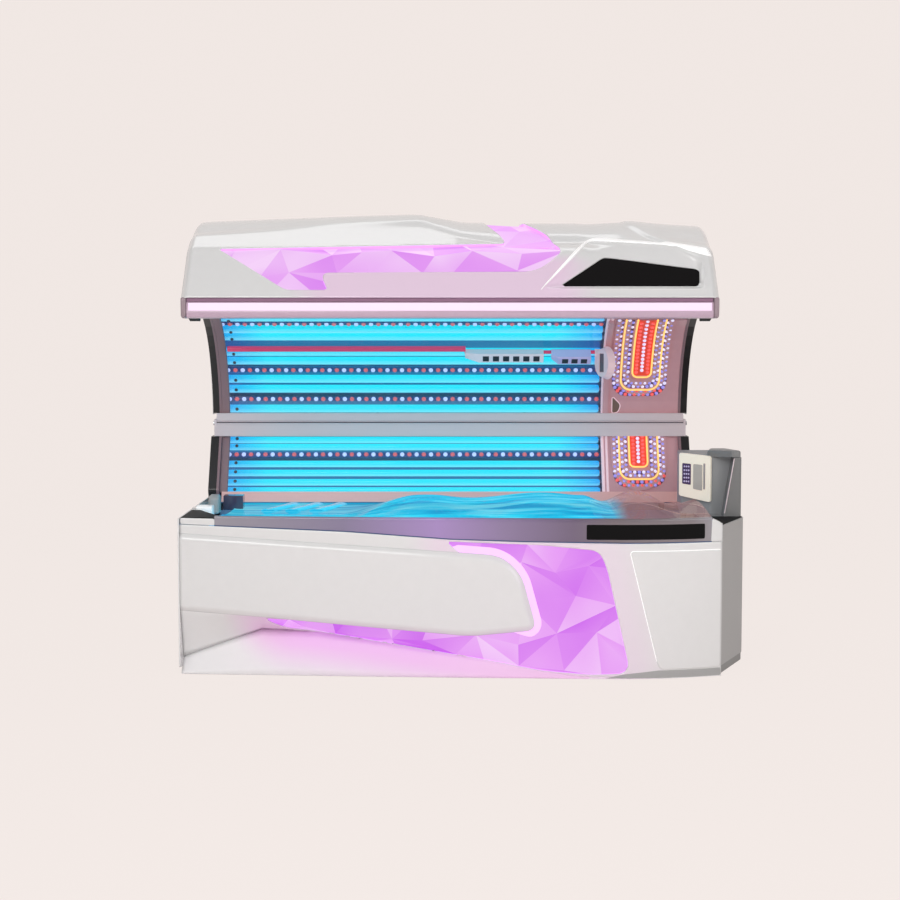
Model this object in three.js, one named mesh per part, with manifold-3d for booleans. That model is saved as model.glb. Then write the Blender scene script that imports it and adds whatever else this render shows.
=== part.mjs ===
// Clamshell tanning bed, in millimetres, +Z up. X runs along the bed from the middle of the base,
// Y runs back from the front plane and Z up from the floor. The canopy stands open.
import * as THREE from 'three';
import { mergeVertices } from 'three/addons/utils/BufferGeometryUtils.js';
import Module from 'manifold-3d';

// Overall sizes
const halfBed = 1100;
const benchHeight = 650;
const rearDepth = 1236;
const benchInset = 346;
const benchRear = rearDepth - benchInset;
const hingeInset = 224;
const hingeY = rearDepth - hingeInset;
const wall = 5;
const sheet = 3;
const fit = 0.3;
const facetClear = 1.3;

// Front form: the plan bows out to a nose, and a recess undercuts the lower left
const frontLeft = 40;
const frontNose = -77;
const frontRight = 0;
const noseAt = 690;
const toeClear = 5;
const frontTop = benchHeight - 10;
const paneRise = 16;
const paneBottomLine = [[-halfBed, 264], [-752, 240], [80, 172], [348, 200]];
const creaseLine = [[-halfBed, 60], [-772, 173], [-540, 169], [-162, 113], [164, 68], [368, 34], [532, 12]];
const recessLine = [[-halfBed, 70], [-772, 110], [-162, 70], [368, 0]];
const skirtEnd = halfBed - 36;
const skirtLine = [[-halfBed, 14], [skirtEnd, 94]];

// Lamps: tubes of 38 mm across between two rows of lampholders
const lampRadius = 19;
const lampInset = 64;
const lampLeft = lampInset - halfBed;
const lampRight = 690;
const holderWidth = 8.7;

// Canopy arch: the lamps lie on an arc about this centre
const archInset = 523;
const archY = hingeY - archInset;
const archZ = 961;
const lampArc = 562;
const paneArc = 534;
const paneThick = 4;
const reflectorArc = 590;
const endArc = 640;
const firstPairAngle = 17.3;
const pairPitch = 14.6;
const pairGap = 5;
const stripAngles = [12.4, 27.1, 56.3];
const ductAngle = 40.2;

// Hinge between the two aluminium rails
const hingeZ = 971.5;
const beadRadius = 13;
const railInset = 32;
const railHalf = halfBed - railInset;
const railDeep = 52;
const railFront = hingeY - 12;
const railBack = railFront + railDeep;
const railHeight = 60;
const canopyRailFoot = 11;
const canopyRailTop = 45;
const pinRadius = 5;

// Canopy shell
const canopyInset = 3;
const halfCanopy = halfBed - canopyInset;
const rimReach = 349;
const rimFront = archY - rimReach;
const rimTop = 1530;
const endRound = 22;
const shellFoot = 1000;

// Ends of the tanning space
const cheekThick = 48;
const cheekOuter = halfBed - 7;
const cheekInner = cheekOuter - cheekThick;
const dividerAt = lampRight + holderWidth + fit;

// Service pod at the right end
const podReach = 135;
const podInner = halfBed - 1;
const podOuter = halfBed + podReach;

// Gas springs
const strutInset = 115;
const strutX = halfBed - strutInset;
const leverReach = 110;
const leverDrop = 40;
const strutRadius = 14;
const rodRadius = 7;
const strutFoot = 520;
const strutTop = 880;

const wasm = await Module();
wasm.setup();

// A closed geometry as a solid that can be cut and joined
function solid(geometry) {
  const bare = geometry.clone();
  for (const name of Object.keys(bare.attributes)) {
    if (name !== 'position') bare.deleteAttribute(name);
  }
  const merged = mergeVertices(bare, 1e-3);
  return new wasm.Manifold(new wasm.Mesh({
    numProp: 3,
    vertProperties: new Float32Array(merged.attributes.position.array),
    triVerts: new Uint32Array(merged.index.array),
  }));
}

// A solid back as a geometry
function geometryOf(body) {
  const mesh = body.getMesh();
  const geometry = new THREE.BufferGeometry();
  geometry.setAttribute('position', new THREE.BufferAttribute(new Float32Array(mesh.vertProperties), 3));
  geometry.setIndex(new THREE.BufferAttribute(new Uint32Array(mesh.triVerts), 1));
  return geometry;
}

function join(...bodies) {
  return bodies.reduce((whole, body) => whole.add(body));
}

// Straight-line interpolation through a few [x, value] points
function along(points, x) {
  if (x <= points[0][0]) return points[0][1];
  for (let i = 1; i < points.length; i += 1) {
    const [x0, v0] = points[i - 1];
    const [x1, v1] = points[i];
    if (x <= x1) return v0 + (v1 - v0) * (x - x0) / (x1 - x0);
  }
  return points[points.length - 1][1];
}

// A closed outline with each corner rounded
function roundedShape(points, radius) {
  const shape = new THREE.Shape();
  const count = points.length;
  points.forEach((point, i) => {
    const here = new THREE.Vector2(...point);
    const before = new THREE.Vector2(...points[(i + count - 1) % count]);
    const after = new THREE.Vector2(...points[(i + 1) % count]);
    const cut = Math.min(radius, here.distanceTo(before) * 0.45, here.distanceTo(after) * 0.45);
    const start = here.clone().lerp(before, cut / here.distanceTo(before));
    const end = here.clone().lerp(after, cut / here.distanceTo(after));
    if (i === 0) shape.moveTo(start.x, start.y);
    else shape.lineTo(start.x, start.y);
    if (radius > 0) shape.quadraticCurveTo(here.x, here.y, end.x, end.y);
  });
  shape.closePath();
  return shape;
}

// Extrusions of an outline: [y, z] along X, [x, z] through Y and [x, y] up Z
function extrude(points, length, radius) {
  return new THREE.ExtrudeGeometry(roundedShape(points, radius), {
    depth: length, bevelEnabled: false, curveSegments: 3,
  });
}

function alongX(points, x0, x1, radius = 0) {
  const turn = new THREE.Matrix4().set(0, 0, 1, x0, 1, 0, 0, 0, 0, 1, 0, 0, 0, 0, 0, 1);
  return solid(extrude(points, x1 - x0, radius).applyMatrix4(turn));
}

function throughY(points, y0, y1, radius = 0) {
  const turn = new THREE.Matrix4().set(1, 0, 0, 0, 0, 0, -1, y1, 0, 1, 0, 0, 0, 0, 0, 1);
  return solid(extrude(points, y1 - y0, radius).applyMatrix4(turn));
}

function upZ(points, z0, z1, radius = 0) {
  return solid(extrude(points, z1 - z0, radius).translate(0, 0, z0));
}

function block(x0, x1, y0, y1, z0, z1) {
  const box = new THREE.BoxGeometry(x1 - x0, y1 - y0, z1 - z0);
  return solid(box.translate((x0 + x1) / 2, (y0 + y1) / 2, (z0 + z1) / 2));
}

// Round bars along each axis
function rodX(radius, x0, x1, y, z, sides = 10) {
  const bar = new THREE.CylinderGeometry(radius, radius, x1 - x0, sides).rotateZ(-Math.PI / 2);
  return solid(bar.translate((x0 + x1) / 2, y, z));
}

function rodY(radius, y0, y1, x, z, sides = 24) {
  const bar = new THREE.CylinderGeometry(radius, radius, y1 - y0, sides);
  return solid(bar.translate(x, (y0 + y1) / 2, z));
}

function rodZ(radius, z0, z1, x, y, sides = 16) {
  const bar = new THREE.CylinderGeometry(radius, radius, z1 - z0, sides).rotateX(Math.PI / 2);
  return solid(bar.translate(x, y, (z0 + z1) / 2));
}

// A line of [y, z] points moved sideways, to the left of its direction
function shifted(points, distance) {
  return points.map((point, i) => {
    const before = points[Math.max(i - 1, 0)];
    const after = points[Math.min(i + 1, points.length - 1)];
    const into = new THREE.Vector2(point[0] - before[0], point[1] - before[1]).normalize();
    const out = new THREE.Vector2(after[0] - point[0], after[1] - point[1]).normalize();
    if (into.length() === 0) into.copy(out);
    if (out.length() === 0) out.copy(into);
    const bisector = into.clone().add(out).normalize();
    const mitre = distance / Math.max(bisector.dot(into), 0.5);
    return [point[0] - bisector.y * mitre, point[1] + bisector.x * mitre];
  });
}

function thickened(points, thickness) {
  return [...points, ...shifted(points, thickness).reverse()];
}

// A skin through outlines of equal count that stand at rising x
function loft(sections) {
  const contour = sections[0].points.map(([y, z]) => new THREE.Vector2(y, z));
  const clockwise = THREE.ShapeUtils.isClockWise(contour);
  const rings = sections.map(({ x, points }) => {
    const ordered = clockwise ? [...points].reverse() : points;
    return ordered.map(([y, z]) => [x, y, z]);
  });
  const count = rings[0].length;
  const index = [];
  for (let i = 0; i + 1 < rings.length; i += 1) {
    for (let j = 0; j < count; j += 1) {
      const next = (j + 1) % count;
      const a = i * count + j;
      const b = i * count + next;
      // The halves take mirrored diagonals, so that both faces of a thin skin run alike
      if (j < count / 2) index.push(a, b, b + count, a, b + count, a + count);
      else index.push(a, b, a + count, b, b + count, a + count);
    }
  }
  const last = (rings.length - 1) * count;
  const flat = (ring) => ring.map(([, y, z]) => new THREE.Vector2(y, z));
  for (const [a, b, c] of THREE.ShapeUtils.triangulateShape(flat(rings[0]), [])) index.push(a, c, b);
  for (const [a, b, c] of THREE.ShapeUtils.triangulateShape(flat(rings[rings.length - 1]), [])) {
    index.push(last + a, last + b, last + c);
  }
  const geometry = new THREE.BufferGeometry();
  geometry.setAttribute('position', new THREE.Float32BufferAttribute(rings.flat(2), 3));
  geometry.setIndex(index);
  return solid(geometry);
}

// Points on an arc of the canopy, angles in degrees from the rear
function arcPoint(radius, degrees) {
  const angle = THREE.MathUtils.degToRad(degrees);
  return [archY + radius * Math.cos(angle), archZ + radius * Math.sin(angle)];
}

function arcPoints(radius, from, to, steps) {
  return Array.from({ length: steps + 1 }, (_, i) => arcPoint(radius, from + (to - from) * i / steps));
}

// Angle at which an arc stands at a given height on its rear side
function angleAt(radius, z) {
  return THREE.MathUtils.radToDeg(Math.asin((z - archZ) / radius));
}

function arcSheet(radius, thickness, from, to, x0, x1, steps = 16) {
  const inner = arcPoints(radius, from, to, steps);
  const outer = arcPoints(radius + thickness, from, to, steps);
  return alongX([...inner, ...outer.reverse()], x0, x1);
}

// Finishes
function finish(color, roughness, metalness = 0, more = {}) {
  return new THREE.MeshStandardMaterial({ color, roughness, metalness, ...more });
}
const whiteShell = finish(0xf0f0f0, 0.25);
const greyShell = finish(0xa9a9a9, 0.4);
const hoodGrey = finish(0x7b7b7b, 0.4);
const darkPlastic = finish(0x4a4044, 0.45);
const blackGloss = finish(0x0d0b0c, 0.12);
const rubber = finish(0x151515, 0.8);
const aluminium = finish(0xb8b0be, 0.35, 0.9);
const reflectorSheet = finish(0xd8dce2, 0.2, 0.9);
const paintedSteel = finish(0x55585c, 0.5, 0.3);
const brightSteel = finish(0xc9c9cc, 0.25, 1);
const clearAcrylic = finish(0xdfe8f2, 0.05, 0, { transparent: true, opacity: 0.3 });
const glowAcrylic = finish(0xe99afb, 0.3, 0, { emissive: 0xc860e0 });
const lampGlass = finish(0x3ff0ff, 0.3, 0, { emissive: 0x20c8e8 });
const stripLight = finish(0xfef0fe, 0.3, 0, { emissive: 0xfde0fd });
const ledBoard = finish(0xe8d0e0, 0.4);
const facePlastic = finish(0xe6c8d4, 0.35);
const ductRed = finish(0xc64971, 0.35);
const consoleCream = finish(0xf2ead8, 0.4);
const displayGlass = finish(0xbab2a9, 0.15);
const keypadPurple = finish(0x4a3a66, 0.5);

const model = new THREE.Group();
function add(name, body, material, parent = model) {
  const mesh = new THREE.Mesh(geometryOf(body), material);
  mesh.name = name;
  parent.add(mesh);
}

// Base front: one bowed and undercut surface that the covers, the pane and the glow panel share
function frontPlan(x) {
  if (x < noseAt) {
    const s = (x + halfBed) / (noseAt + halfBed);
    return frontLeft + (frontNose - frontLeft) * s * (1.3 - 0.3 * s);
  }
  const s = (x - noseAt) / (halfBed - noseAt);
  return frontNose + (frontRight - frontNose) * s * s;
}
const frontStations = [-halfBed + 6.5, -752, -540, -270, 0, 200, 348, 532, noseAt, 800, 950, halfBed - 4];

function frontSheet(offset, thickness) {
  return loft(frontStations.map((x) => {
    const crease = along(creaseLine, x);
    const paneFoot = along(paneBottomLine, x);
    const recess = along(recessLine, x);
    const face = frontPlan(x) + offset;
    const line = [
      [face + recess * toeClear / crease, toeClear],
      [face + recess, crease],
      [face, paneFoot],
      [face, frontTop],
    ];
    const back = line.map(([y, z]) => [y + thickness, z]).reverse();
    return { x, points: [...line, ...back] };
  }));
}

function frontPiece(offset, thickness, outline, radius) {
  return frontSheet(offset, thickness).intersect(throughY(outline, frontNose - 60, frontLeft + 220, radius));
}

const leftEdge = -halfBed + 3;
const rightEdge = halfBed;
const skirtFoot = (x) => benchHeight - along(skirtLine, x);
const coverTop = (x) => skirtFoot(x) - 1;
const paneHead = benchHeight - 138;
const glowRight = [[724, 48], [628, paneHead - 60], [600, paneHead]];
const paneRight = [[348, 200], [286, paneHead - 86], [204, paneHead - 12]];
const paneFootAt = (x) => along(paneBottomLine, x);
const lip = 18;

const coverOutline = [
  [leftEdge, coverTop(leftEdge)], [skirtEnd, coverTop(skirtEnd)], [rightEdge, coverTop(rightEdge) - 20],
  [rightEdge, 30], [glowRight[0][0] + 2, 8], ...glowRight,
  [360, paneHead + 34], [0, paneHead + 54], [paneRight[2][0] - lip, paneRight[2][1] - lip],
  [paneRight[1][0] - lip, paneRight[1][1]], [paneRight[0][0] - lip, paneRight[0][1] + lip],
  [80, paneFootAt(80) + lip], [-752, paneFootAt(-752) + lip], [leftEdge, paneFootAt(leftEdge) + lip],
];
add('front_cover', frontPiece(0, wall, coverOutline, 6), whiteShell);

const paneOutline = [
  [leftEdge, paneFootAt(leftEdge)], [-752, paneFootAt(-752)], [80, paneFootAt(80)],
  ...paneRight, [40, paneHead], [leftEdge, paneHead + 68],
];
add('front_pane', frontPiece(-paneRise - fit, paneRise, paneOutline, 24), whiteShell);

const glowFoot = [[-756, 236], [-720, 206], [-660, 180], [-540, 169], [-162, 113], [164, 68], [368, 34], [532, 12]];
const glowOutline = [
  ...glowFoot, [glowRight[0][0] + lip, toeClear], [glowRight[0][0] + lip, 48],
  [glowRight[1][0] + lip, glowRight[1][1]], [glowRight[2][0] + lip, glowRight[2][1] + lip / 2],
  [360, paneHead + 44], [0, paneHead + 60], [160, paneHead - 42], [240, paneHead - 97], [300, 225],
  [80, paneFootAt(80) + 40], [-700, paneFootAt(-700) + 40],
];
add('front_glow_panel', frontPiece(wall + fit, paneThick, glowOutline, 0), glowAcrylic);

const seam = 0.6;
const toeOutline = [
  [leftEdge, toeClear - 1], [glowRight[0][0], toeClear - 1], [532, 12 - seam],
  ...glowFoot.slice(0, -1).reverse().map(([x, z]) => [x - seam, z - seam]),
  [-756 - seam, paneFootAt(-756) + lip / 2], [leftEdge, paneFootAt(leftEdge) + lip / 2],
];
add('toe_skirt', frontPiece(wall + fit, wall, toeOutline, 0), whiteShell);

// End and rear covers
const coverFoot = 30;
const deckTop = benchHeight - 10;
const deckInner = halfBed - 48;
const leftPlate = alongX([
  [frontLeft - 18, coverFoot], [rearDepth, coverFoot], [rearDepth, deckTop], [frontLeft - 18, deckTop],
], -halfBed, -halfBed + 6, 20);
const leftDeck = block(-halfBed + 5, -deckInner, frontLeft + 20, benchRear + 40, deckTop - 26, deckTop - 20);
const catchLeft = -halfBed + 8;
const catchRight = catchLeft + 34;
const leftCatch = upZ([[catchLeft, 360], [catchRight, 360], [catchRight, 420], [catchLeft, 420]],
  deckTop - 21, deckTop + 8, 10);
add('left_end_cover', join(leftPlate, leftDeck, leftCatch), whiteShell);

const rearTop = 930;
const louvres = [];
for (const bankX of [-620, 420]) {
  for (let row = 0; row < 6; row += 1) {
    const z = 130 + row * 36;
    louvres.push(throughY([[bankX - 105, z], [bankX + 105, z], [bankX + 105, z + 14], [bankX - 105, z + 14]],
      rearDepth - 20, rearDepth + 10));
  }
}
const gland = rodY(16, rearDepth - 1, rearDepth + 22, 900, 140, 16).subtract(
  rodY(7, rearDepth - 20, rearDepth + 30, 900, 140, 12));
const rearPlate = throughY([
  [-cheekOuter, coverFoot], [cheekOuter, coverFoot], [cheekOuter, rearTop], [-cheekOuter, rearTop],
], rearDepth - wall, rearDepth, 24);
const rearBare = rearPlate.subtract(rodY(7, rearDepth - 20, rearDepth + 30, 900, 140, 12));
add('rear_cover', louvres.reduce((plate, slot) => plate.subtract(slot), rearBare).add(gland), whiteShell);

// Welded base frame: rails, cross members, posts under the side rail and shelves for the gas springs
const tube = 40;
const frameFoot = 60;
const frameTop = frameFoot + tube;
const frameFront = 130;
const frameRear = rearDepth - wall - fit - tube;
const postOuter = halfBed - 12;
const postInner = postOuter - 36;
const postFront = railFront + 10;
const postBack = railBack - 2;
const bars = [
  block(-postOuter, postOuter, frameFront, frameFront + tube, frameFoot, frameTop),
  block(-postOuter, postOuter, frameRear, frameRear + tube, frameFoot, frameTop),
];
for (const x of [-postOuter, -tube / 2, postOuter - tube]) {
  bars.push(block(x, x + tube, frameFront, frameRear + tube, frameFoot, frameTop));
}
const strutY = hingeY + leverReach;
const bearerInner = postOuter - 78;
const reflectorZ = benchHeight - 130;
const bearerTop = reflectorZ - sheet - 2 * fit;
for (const y of [420, hingeY - 52]) {
  bars.push(block(postOuter - 10, podOuter - wall - fit, y, y + tube, frameFoot, frameTop));
}
for (const side of [-1, 1]) {
  const [x0, x1] = side < 0 ? [-postOuter, -postInner] : [postInner, postOuter];
  bars.push(block(x0, x1, postFront, postBack, frameFoot, hingeZ - railHeight - fit));
  bars.push(block(x0, x1, frameFront, frameFront + tube, frameFoot, bearerTop));
  const [b0, b1] = side < 0 ? [-postOuter, -bearerInner] : [bearerInner, postOuter];
  bars.push(block(b0, b1, frameFront, postBack, bearerTop - 26, bearerTop));
  const [s0, s1] = side < 0 ? [-postOuter, -strutX + 25] : [strutX - 25, postOuter];
  bars.push(block(s0, s1, postFront, strutY + 25, strutFoot - fit - 12, strutFoot - fit));
}
add('base_frame', join(...bars), paintedSteel);

// Levelling feet under the frame's corners
const footRadius = 32;
const footPlaces = {
  foot_front_left: [-postOuter + tube, frameFront + tube / 2],
  foot_front_right: [postOuter - tube, frameFront + tube / 2],
  foot_rear_left: [-postOuter + tube, frameRear + tube / 2],
  foot_rear_right: [postOuter - tube, frameRear + tube / 2],
};
for (const [name, [x, y]] of Object.entries(footPlaces)) {
  const profile = [
    [0, 0], [footRadius, 0], [footRadius, 8], [footRadius - 12, 16], [12, 18], [12, 30], [18, 30],
    [18, frameFoot - fit], [0, frameFoot - fit],
  ].map(([r, z]) => new THREE.Vector2(r, z));
  const turned = new THREE.LatheGeometry(profile, 14).rotateX(Math.PI / 2);
  add(name, solid(turned.translate(x, y, 0)), rubber);
}

// Bench: a clear trough with a knee and a head rest, turned down at the front into a skirt
const benchLeft = -deckInner + 1;
const benchRight = deckInner - 1;
const upturn = 121;
const benchThick = 6;
const benchFall = 34;
const troughDepth = 22;
const kneeAt = -230;
const headAt = benchRight - 261;
function benchRise(x) {
  const knee = 62 * Math.exp(-(((x - kneeAt) / 170) ** 2));
  const head = 84 * Math.exp(-(((x - headAt) / 130) ** 2));
  const ends = 40 * THREE.MathUtils.smoothstep(Math.abs(x), benchRight - upturn, benchRight);
  return knee + head + ends;
}
function benchLine(x) {
  const front = frontPlan(x) + 2;
  const edge = front + 12;
  const points = [[front, skirtFoot(x)], [front, benchHeight - 9], [edge, benchHeight]];
  const steps = 7;
  for (let i = 1; i <= steps; i += 1) {
    const s = i / steps;
    const bow = Math.sin(Math.PI * s);
    const y = edge + (benchRear - edge) * s;
    points.push([y, benchHeight - benchFall * s + bow * (benchRise(x) - troughDepth)]);
  }
  return points;
}
const benchStations = [benchLeft, benchLeft + 61, benchLeft + upturn, -760, -560, -460, -360, -290, -230, -170, -100,
  0, 100, 320, headAt - 230, headAt - 150, headAt - 90, headAt - 40, headAt, headAt + 40, headAt + 90, headAt + 150,
  benchRight - 61, benchRight]
  .filter((x, i, list) => i === 0 || x > list[i - 1] + 1);
add('bench_acrylic', loft(benchStations.map((x) => (
  { x, points: thickened(benchLine(x), -benchThick) }))), clearAcrylic);

const stripStations = benchStations.filter((x) => x > 550 && x < benchRight - 19);
add('bench_name_strip', loft(stripStations.map((x) => {
  const back = frontPlan(x) + 2 + benchThick + fit + 0.1;
  const foot = skirtFoot(x) + 4;
  const top = benchHeight - 24;
  return { x, points: [[back, foot], [back + 4, foot], [back + 5.5, top], [back + 1.5, top]] };
})), blackGloss);

const benchLampZ = reflectorZ + 32;
const benchReflectorLine = [[70, reflectorZ + 65], [110, reflectorZ + 8], [benchRear - 52, reflectorZ],
  [benchRear - 14, reflectorZ + 65]];
const reflectorHalf = halfBed - 60;
add('bench_reflector', alongX(thickened(benchReflectorLine, -sheet), -reflectorHalf, reflectorHalf), reflectorSheet);
const benchLamps = [];
const benchLampCount = 11;
const benchLampFirst = 140;
const benchLampPitch = (benchRear - 80 - benchLampFirst) / (benchLampCount - 1);
for (let i = 0; i < benchLampCount; i += 1) {
  benchLamps.push(rodX(lampRadius, lampLeft - 1, lampRight + 1, benchLampFirst + i * benchLampPitch, benchLampZ));
}
const reflectorFloor = (y) => along(benchReflectorLine.slice(1, 3), y) + fit;
const holderFront = 118;
const holderBack = benchRear - 58;
for (const x of [lampLeft - holderWidth, lampRight]) {
  benchLamps.push(alongX([[holderFront, reflectorFloor(holderFront)], [holderBack, reflectorFloor(holderBack)],
    [holderBack, benchLampZ + 18], [holderFront, benchLampZ + 26]], x, x + holderWidth));
}
add('bench_lamp_bank', join(...benchLamps), lampGlass);

// Side tanner: lamps on a slope behind a clear pane, between two cheeks
const sideTop = [hingeY + 28, hingeZ - 79.5];
const sideFoot = [benchRear + 40, benchHeight + 18];
const sideSlope = (sideTop[0] - sideFoot[0]) / (sideTop[1] - sideFoot[1]);
const sideY = (z) => sideFoot[0] + (z - sideFoot[1]) * sideSlope;
const sideLean = Math.hypot(1, sideSlope);
const sideLine = (z, away) => [sideY(z) + away / sideLean, z - away * sideSlope / sideLean];
const sideRoof = hingeZ - railHeight - fit;
const sideSpan = 224;
const sideHeight = (rise) => sideFoot[1] + rise * (sideTop[1] - sideFoot[1]) / sideSpan;
const sideLampHeights = [224, 192, 117, 77, 36, 0].map(sideHeight);
const sideStripHeight = sideHeight(156.6);
const reflectorBack = 34;
const paneFront = -26;

const [footY, footZ] = sideLine(benchHeight, reflectorBack);
const sideReflectorLine = [
  [benchRear + 1 + sheet, benchHeight - benchFall - 2], [benchRear + 1 + sheet, footZ], [footY, footZ],
  sideLine(916, reflectorBack),
];
add('side_reflector', alongX(thickened(sideReflectorLine, sheet), -cheekInner + 0.5, cheekInner - 0.5),
  reflectorSheet);

function sideBar(zLow, zHigh, near, far, x0, x1) {
  return alongX([sideLine(zLow, near), sideLine(zLow, far), sideLine(zHigh, far), sideLine(zHigh, near)], x0, x1);
}
const sideLamps = sideLampHeights.map((z) => (
  rodX(lampRadius - 4, lampLeft - 1, lampRight + 1, sideY(z), z)));
for (const x of [lampLeft - holderWidth, lampRight]) {
  sideLamps.push(sideBar(655, 896, -12, reflectorBack - sheet - fit, x, x + holderWidth));
}
add('side_lamp_bank', join(...sideLamps), lampGlass);
add('side_led_strip', sideBar(sideStripHeight - 9, sideStripHeight + 9, -6, 6, lampLeft + fit, lampRight - fit),
  ledBoard);
add('side_acrylic', sideBar(footZ + sheet + 14, 900, paneFront, paneFront + paneThick, -cheekInner + 0.5,
  dividerAt - 1), clearAcrylic);

// A face panel's nested tracks, as a U seen from the front, [x, z]
function trackShape(x0, x1, zTop, zFoot, width) {
  const middle = (x0 + x1) / 2;
  const outer = (x1 - x0) / 2;
  const inner = outer - width;
  const track = new THREE.Shape();
  track.moveTo(x0, zTop);
  track.lineTo(x0, zFoot + outer);
  track.absarc(middle, zFoot + outer, outer, Math.PI, 2 * Math.PI, false);
  track.lineTo(x1, zTop);
  track.lineTo(x1 - width, zTop);
  track.absarc(middle, zFoot + outer, inner, 2 * Math.PI, Math.PI, true);
  track.lineTo(x0 + width, zTop);
  track.closePath();
  return track;
}
function trackPrism(x0, x1, zTop, zFoot, width, y0, y1) {
  const shape = trackShape(x0, x1, zTop, zFoot, width);
  const prism = new THREE.ExtrudeGeometry(shape, { depth: y1 - y0, bevelEnabled: false, curveSegments: 8 });
  const turn = new THREE.Matrix4().set(1, 0, 0, 0, 0, 0, -1, y1, 0, 1, 0, 0, 0, 0, 0, 1);
  return solid(prism.applyMatrix4(turn));
}
const trackLeft = 735;
const trackRight = cheekInner - 55;
const trackWidth = 26;
const trackStep = 42;
const trackRise = 8;

const sideFacePlate = sideBar(footZ + sheet + 14, 900, paneFront, paneFront + 12, dividerAt, cheekInner - 0.5);
const sideTrackSkin = sideBar(footZ + sheet + 20, 895, paneFront - trackRise, paneFront + 1, dividerAt + 4,
  cheekInner - 4);
const sideTracks = [0, 1].map((ring) => sideTrackSkin.intersect(trackPrism(
  trackLeft + ring * trackStep, trackRight - ring * trackStep, 950, 672 + ring * trackStep, trackWidth,
  sideFoot[0] - 130, sideTop[0] + 20)));
add('side_face_panel', join(sideFacePlate, ...sideTracks), facePlastic);

const cheekOutline = [
  [benchRear + 6, deckTop - 18], sideLine(benchHeight, paneFront - 30), [railFront - 3, sideRoof - fit],
  [rearDepth - 36, sideRoof - fit], [rearDepth - wall - 1, 880], [rearDepth - wall - 1, deckTop - 18],
];
for (const side of [-1, 1]) {
  const [x0, x1] = side < 0 ? [-cheekOuter, -cheekInner] : [cheekInner, cheekOuter];
  const [p0, p1] = side < 0 ? [-postOuter - 1, -postInner + 1] : [postInner - 1, postOuter + 1];
  const pocket = block(p0, p1, postFront - 1, postBack + 1, 500, hingeZ);
  const name = side < 0 ? 'side_end_left' : 'side_end_right';
  add(name, alongX(cheekOutline, x0, x1, 8).subtract(pocket), darkPlastic);
}

// Rails: a bead on the canopy rail turns in a groove along the side rail
const endPlate = 11;
let sideRail = block(-railHalf - endPlate, railHalf + endPlate, railFront, railBack, hingeZ - railHeight, hingeZ)
  .subtract(rodX(beadRadius + 0.5, -railHalf - 0.5, railHalf + 0.5, hingeY, hingeZ, 24));
for (const side of [-1, 1]) {
  const [x0, x1] = side < 0 ? [-railHalf - endPlate, -railHalf - 0.5] : [railHalf + 0.5, railHalf + endPlate];
  sideRail = sideRail.add(block(x0, x1, railFront, railBack, hingeZ - railHeight, hingeZ + beadRadius + 4));
}
const pinHole = rodX(pinRadius + fit, -railHalf - 40, railHalf + 40, hingeY, hingeZ, 16);
add('side_rail', sideRail.subtract(pinHole), aluminium);
const pinSeat = 50;
for (const side of [-1, 1]) {
  const stem = side < 0 ? [-railHalf - endPlate - 1, -railHalf + pinSeat]
    : [railHalf - pinSeat, railHalf + endPlate + 1];
  const head = side < 0 ? [-railHalf - endPlate - 5, -railHalf - endPlate - fit]
    : [railHalf + endPlate + fit, railHalf + endPlate + 5];
  const pin = rodX(pinRadius, ...stem, hingeY, hingeZ, 16).add(rodX(pinRadius + 5, ...head, hingeY, hingeZ, 16));
  add(side < 0 ? 'hinge_pin_left' : 'hinge_pin_right', pin, brightSteel);
}

// Service pod at the right end, open towards the base, on a dark plinth
const podTop = benchHeight - 38;
const podRear = rearDepth - wall - 1;
const podPlan = [[podInner, 25], [podOuter, 330], [podOuter, podRear], [podInner, podRear]];
const podHollow = [[podInner - 20, 25 + 3 * wall], [podInner + 2, 25 + 3 * wall], [podOuter - wall, 330 + wall],
  [podOuter - wall, podRear - wall], [podInner - 20, podRear - wall]];
const podDeck = block(deckInner, podInner + 4, frontRight + 40, benchRear + 30, podTop - wall, podTop);
add('side_pod', upZ(podPlan, 40, podTop, 12).subtract(upZ(podHollow, 30, podTop - wall)).add(podDeck), greyShell);
const plinthSet = 3;
const plinthPlan = [[podInner + 2, 25 + 3 * plinthSet], [podOuter - plinthSet, 330 + plinthSet],
  [podOuter - plinthSet, podRear - plinthSet], [podInner + 2, podRear - plinthSet]];
const plinthHollow = [[podInner - 10, 90], [podInner + 6, 90], [podOuter - 40, 355], [podOuter - 40, podRear - 44],
  [podInner - 10, podRear - 44]];
add('pod_plinth', upZ(plinthPlan, 8, 40 - fit, 10).subtract(upZ(plinthHollow, 0, 60)), darkPlastic);

// Console: a hood on the pod, a cream panel set at an angle in front of it, a display and a keypad
const hoodTop = podTop + 281;
const hoodFoot = podTop + fit;
const panelLeft = [halfBed - 112, 492];
const panelRight = [halfBed + 13, 407];
const hoodPlan = [panelLeft, panelRight, [halfBed + 76, 412], [halfBed + 86, 352], [podOuter - 2, 350],
  [podOuter - 2, 566], [panelLeft[0] + 24, 566]];
const hoodHollow = [[panelLeft[0] + 16, 496], [panelRight[0] + 2, 421], [halfBed + 88, 428],
  [halfBed + 94, 362], [podOuter - 8, 360], [podOuter - 8, 558],
  [panelLeft[0] + 32, 558]];
const finSlope = alongX([[300, hoodTop - 20], [360, hoodTop + 20], [300, hoodTop + 20]],
  halfBed - 200, podOuter + 20);
const hoodUndercut = block(halfBed - 200, deckInner + 4, 300, 700, hoodFoot - 20, podTop + 52);
const hoodFin = alongX([[330, 600], [352, 600], [392, hoodTop + 10], [330, hoodTop + 10]],
  halfBed + 50, podOuter + 20);
add('console_hood', upZ(hoodPlan, hoodFoot, hoodTop, 14).subtract(upZ(hoodHollow, hoodFoot - 10, hoodTop - wall))
  .subtract(finSlope).subtract(hoodFin).subtract(hoodUndercut), hoodGrey);

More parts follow.
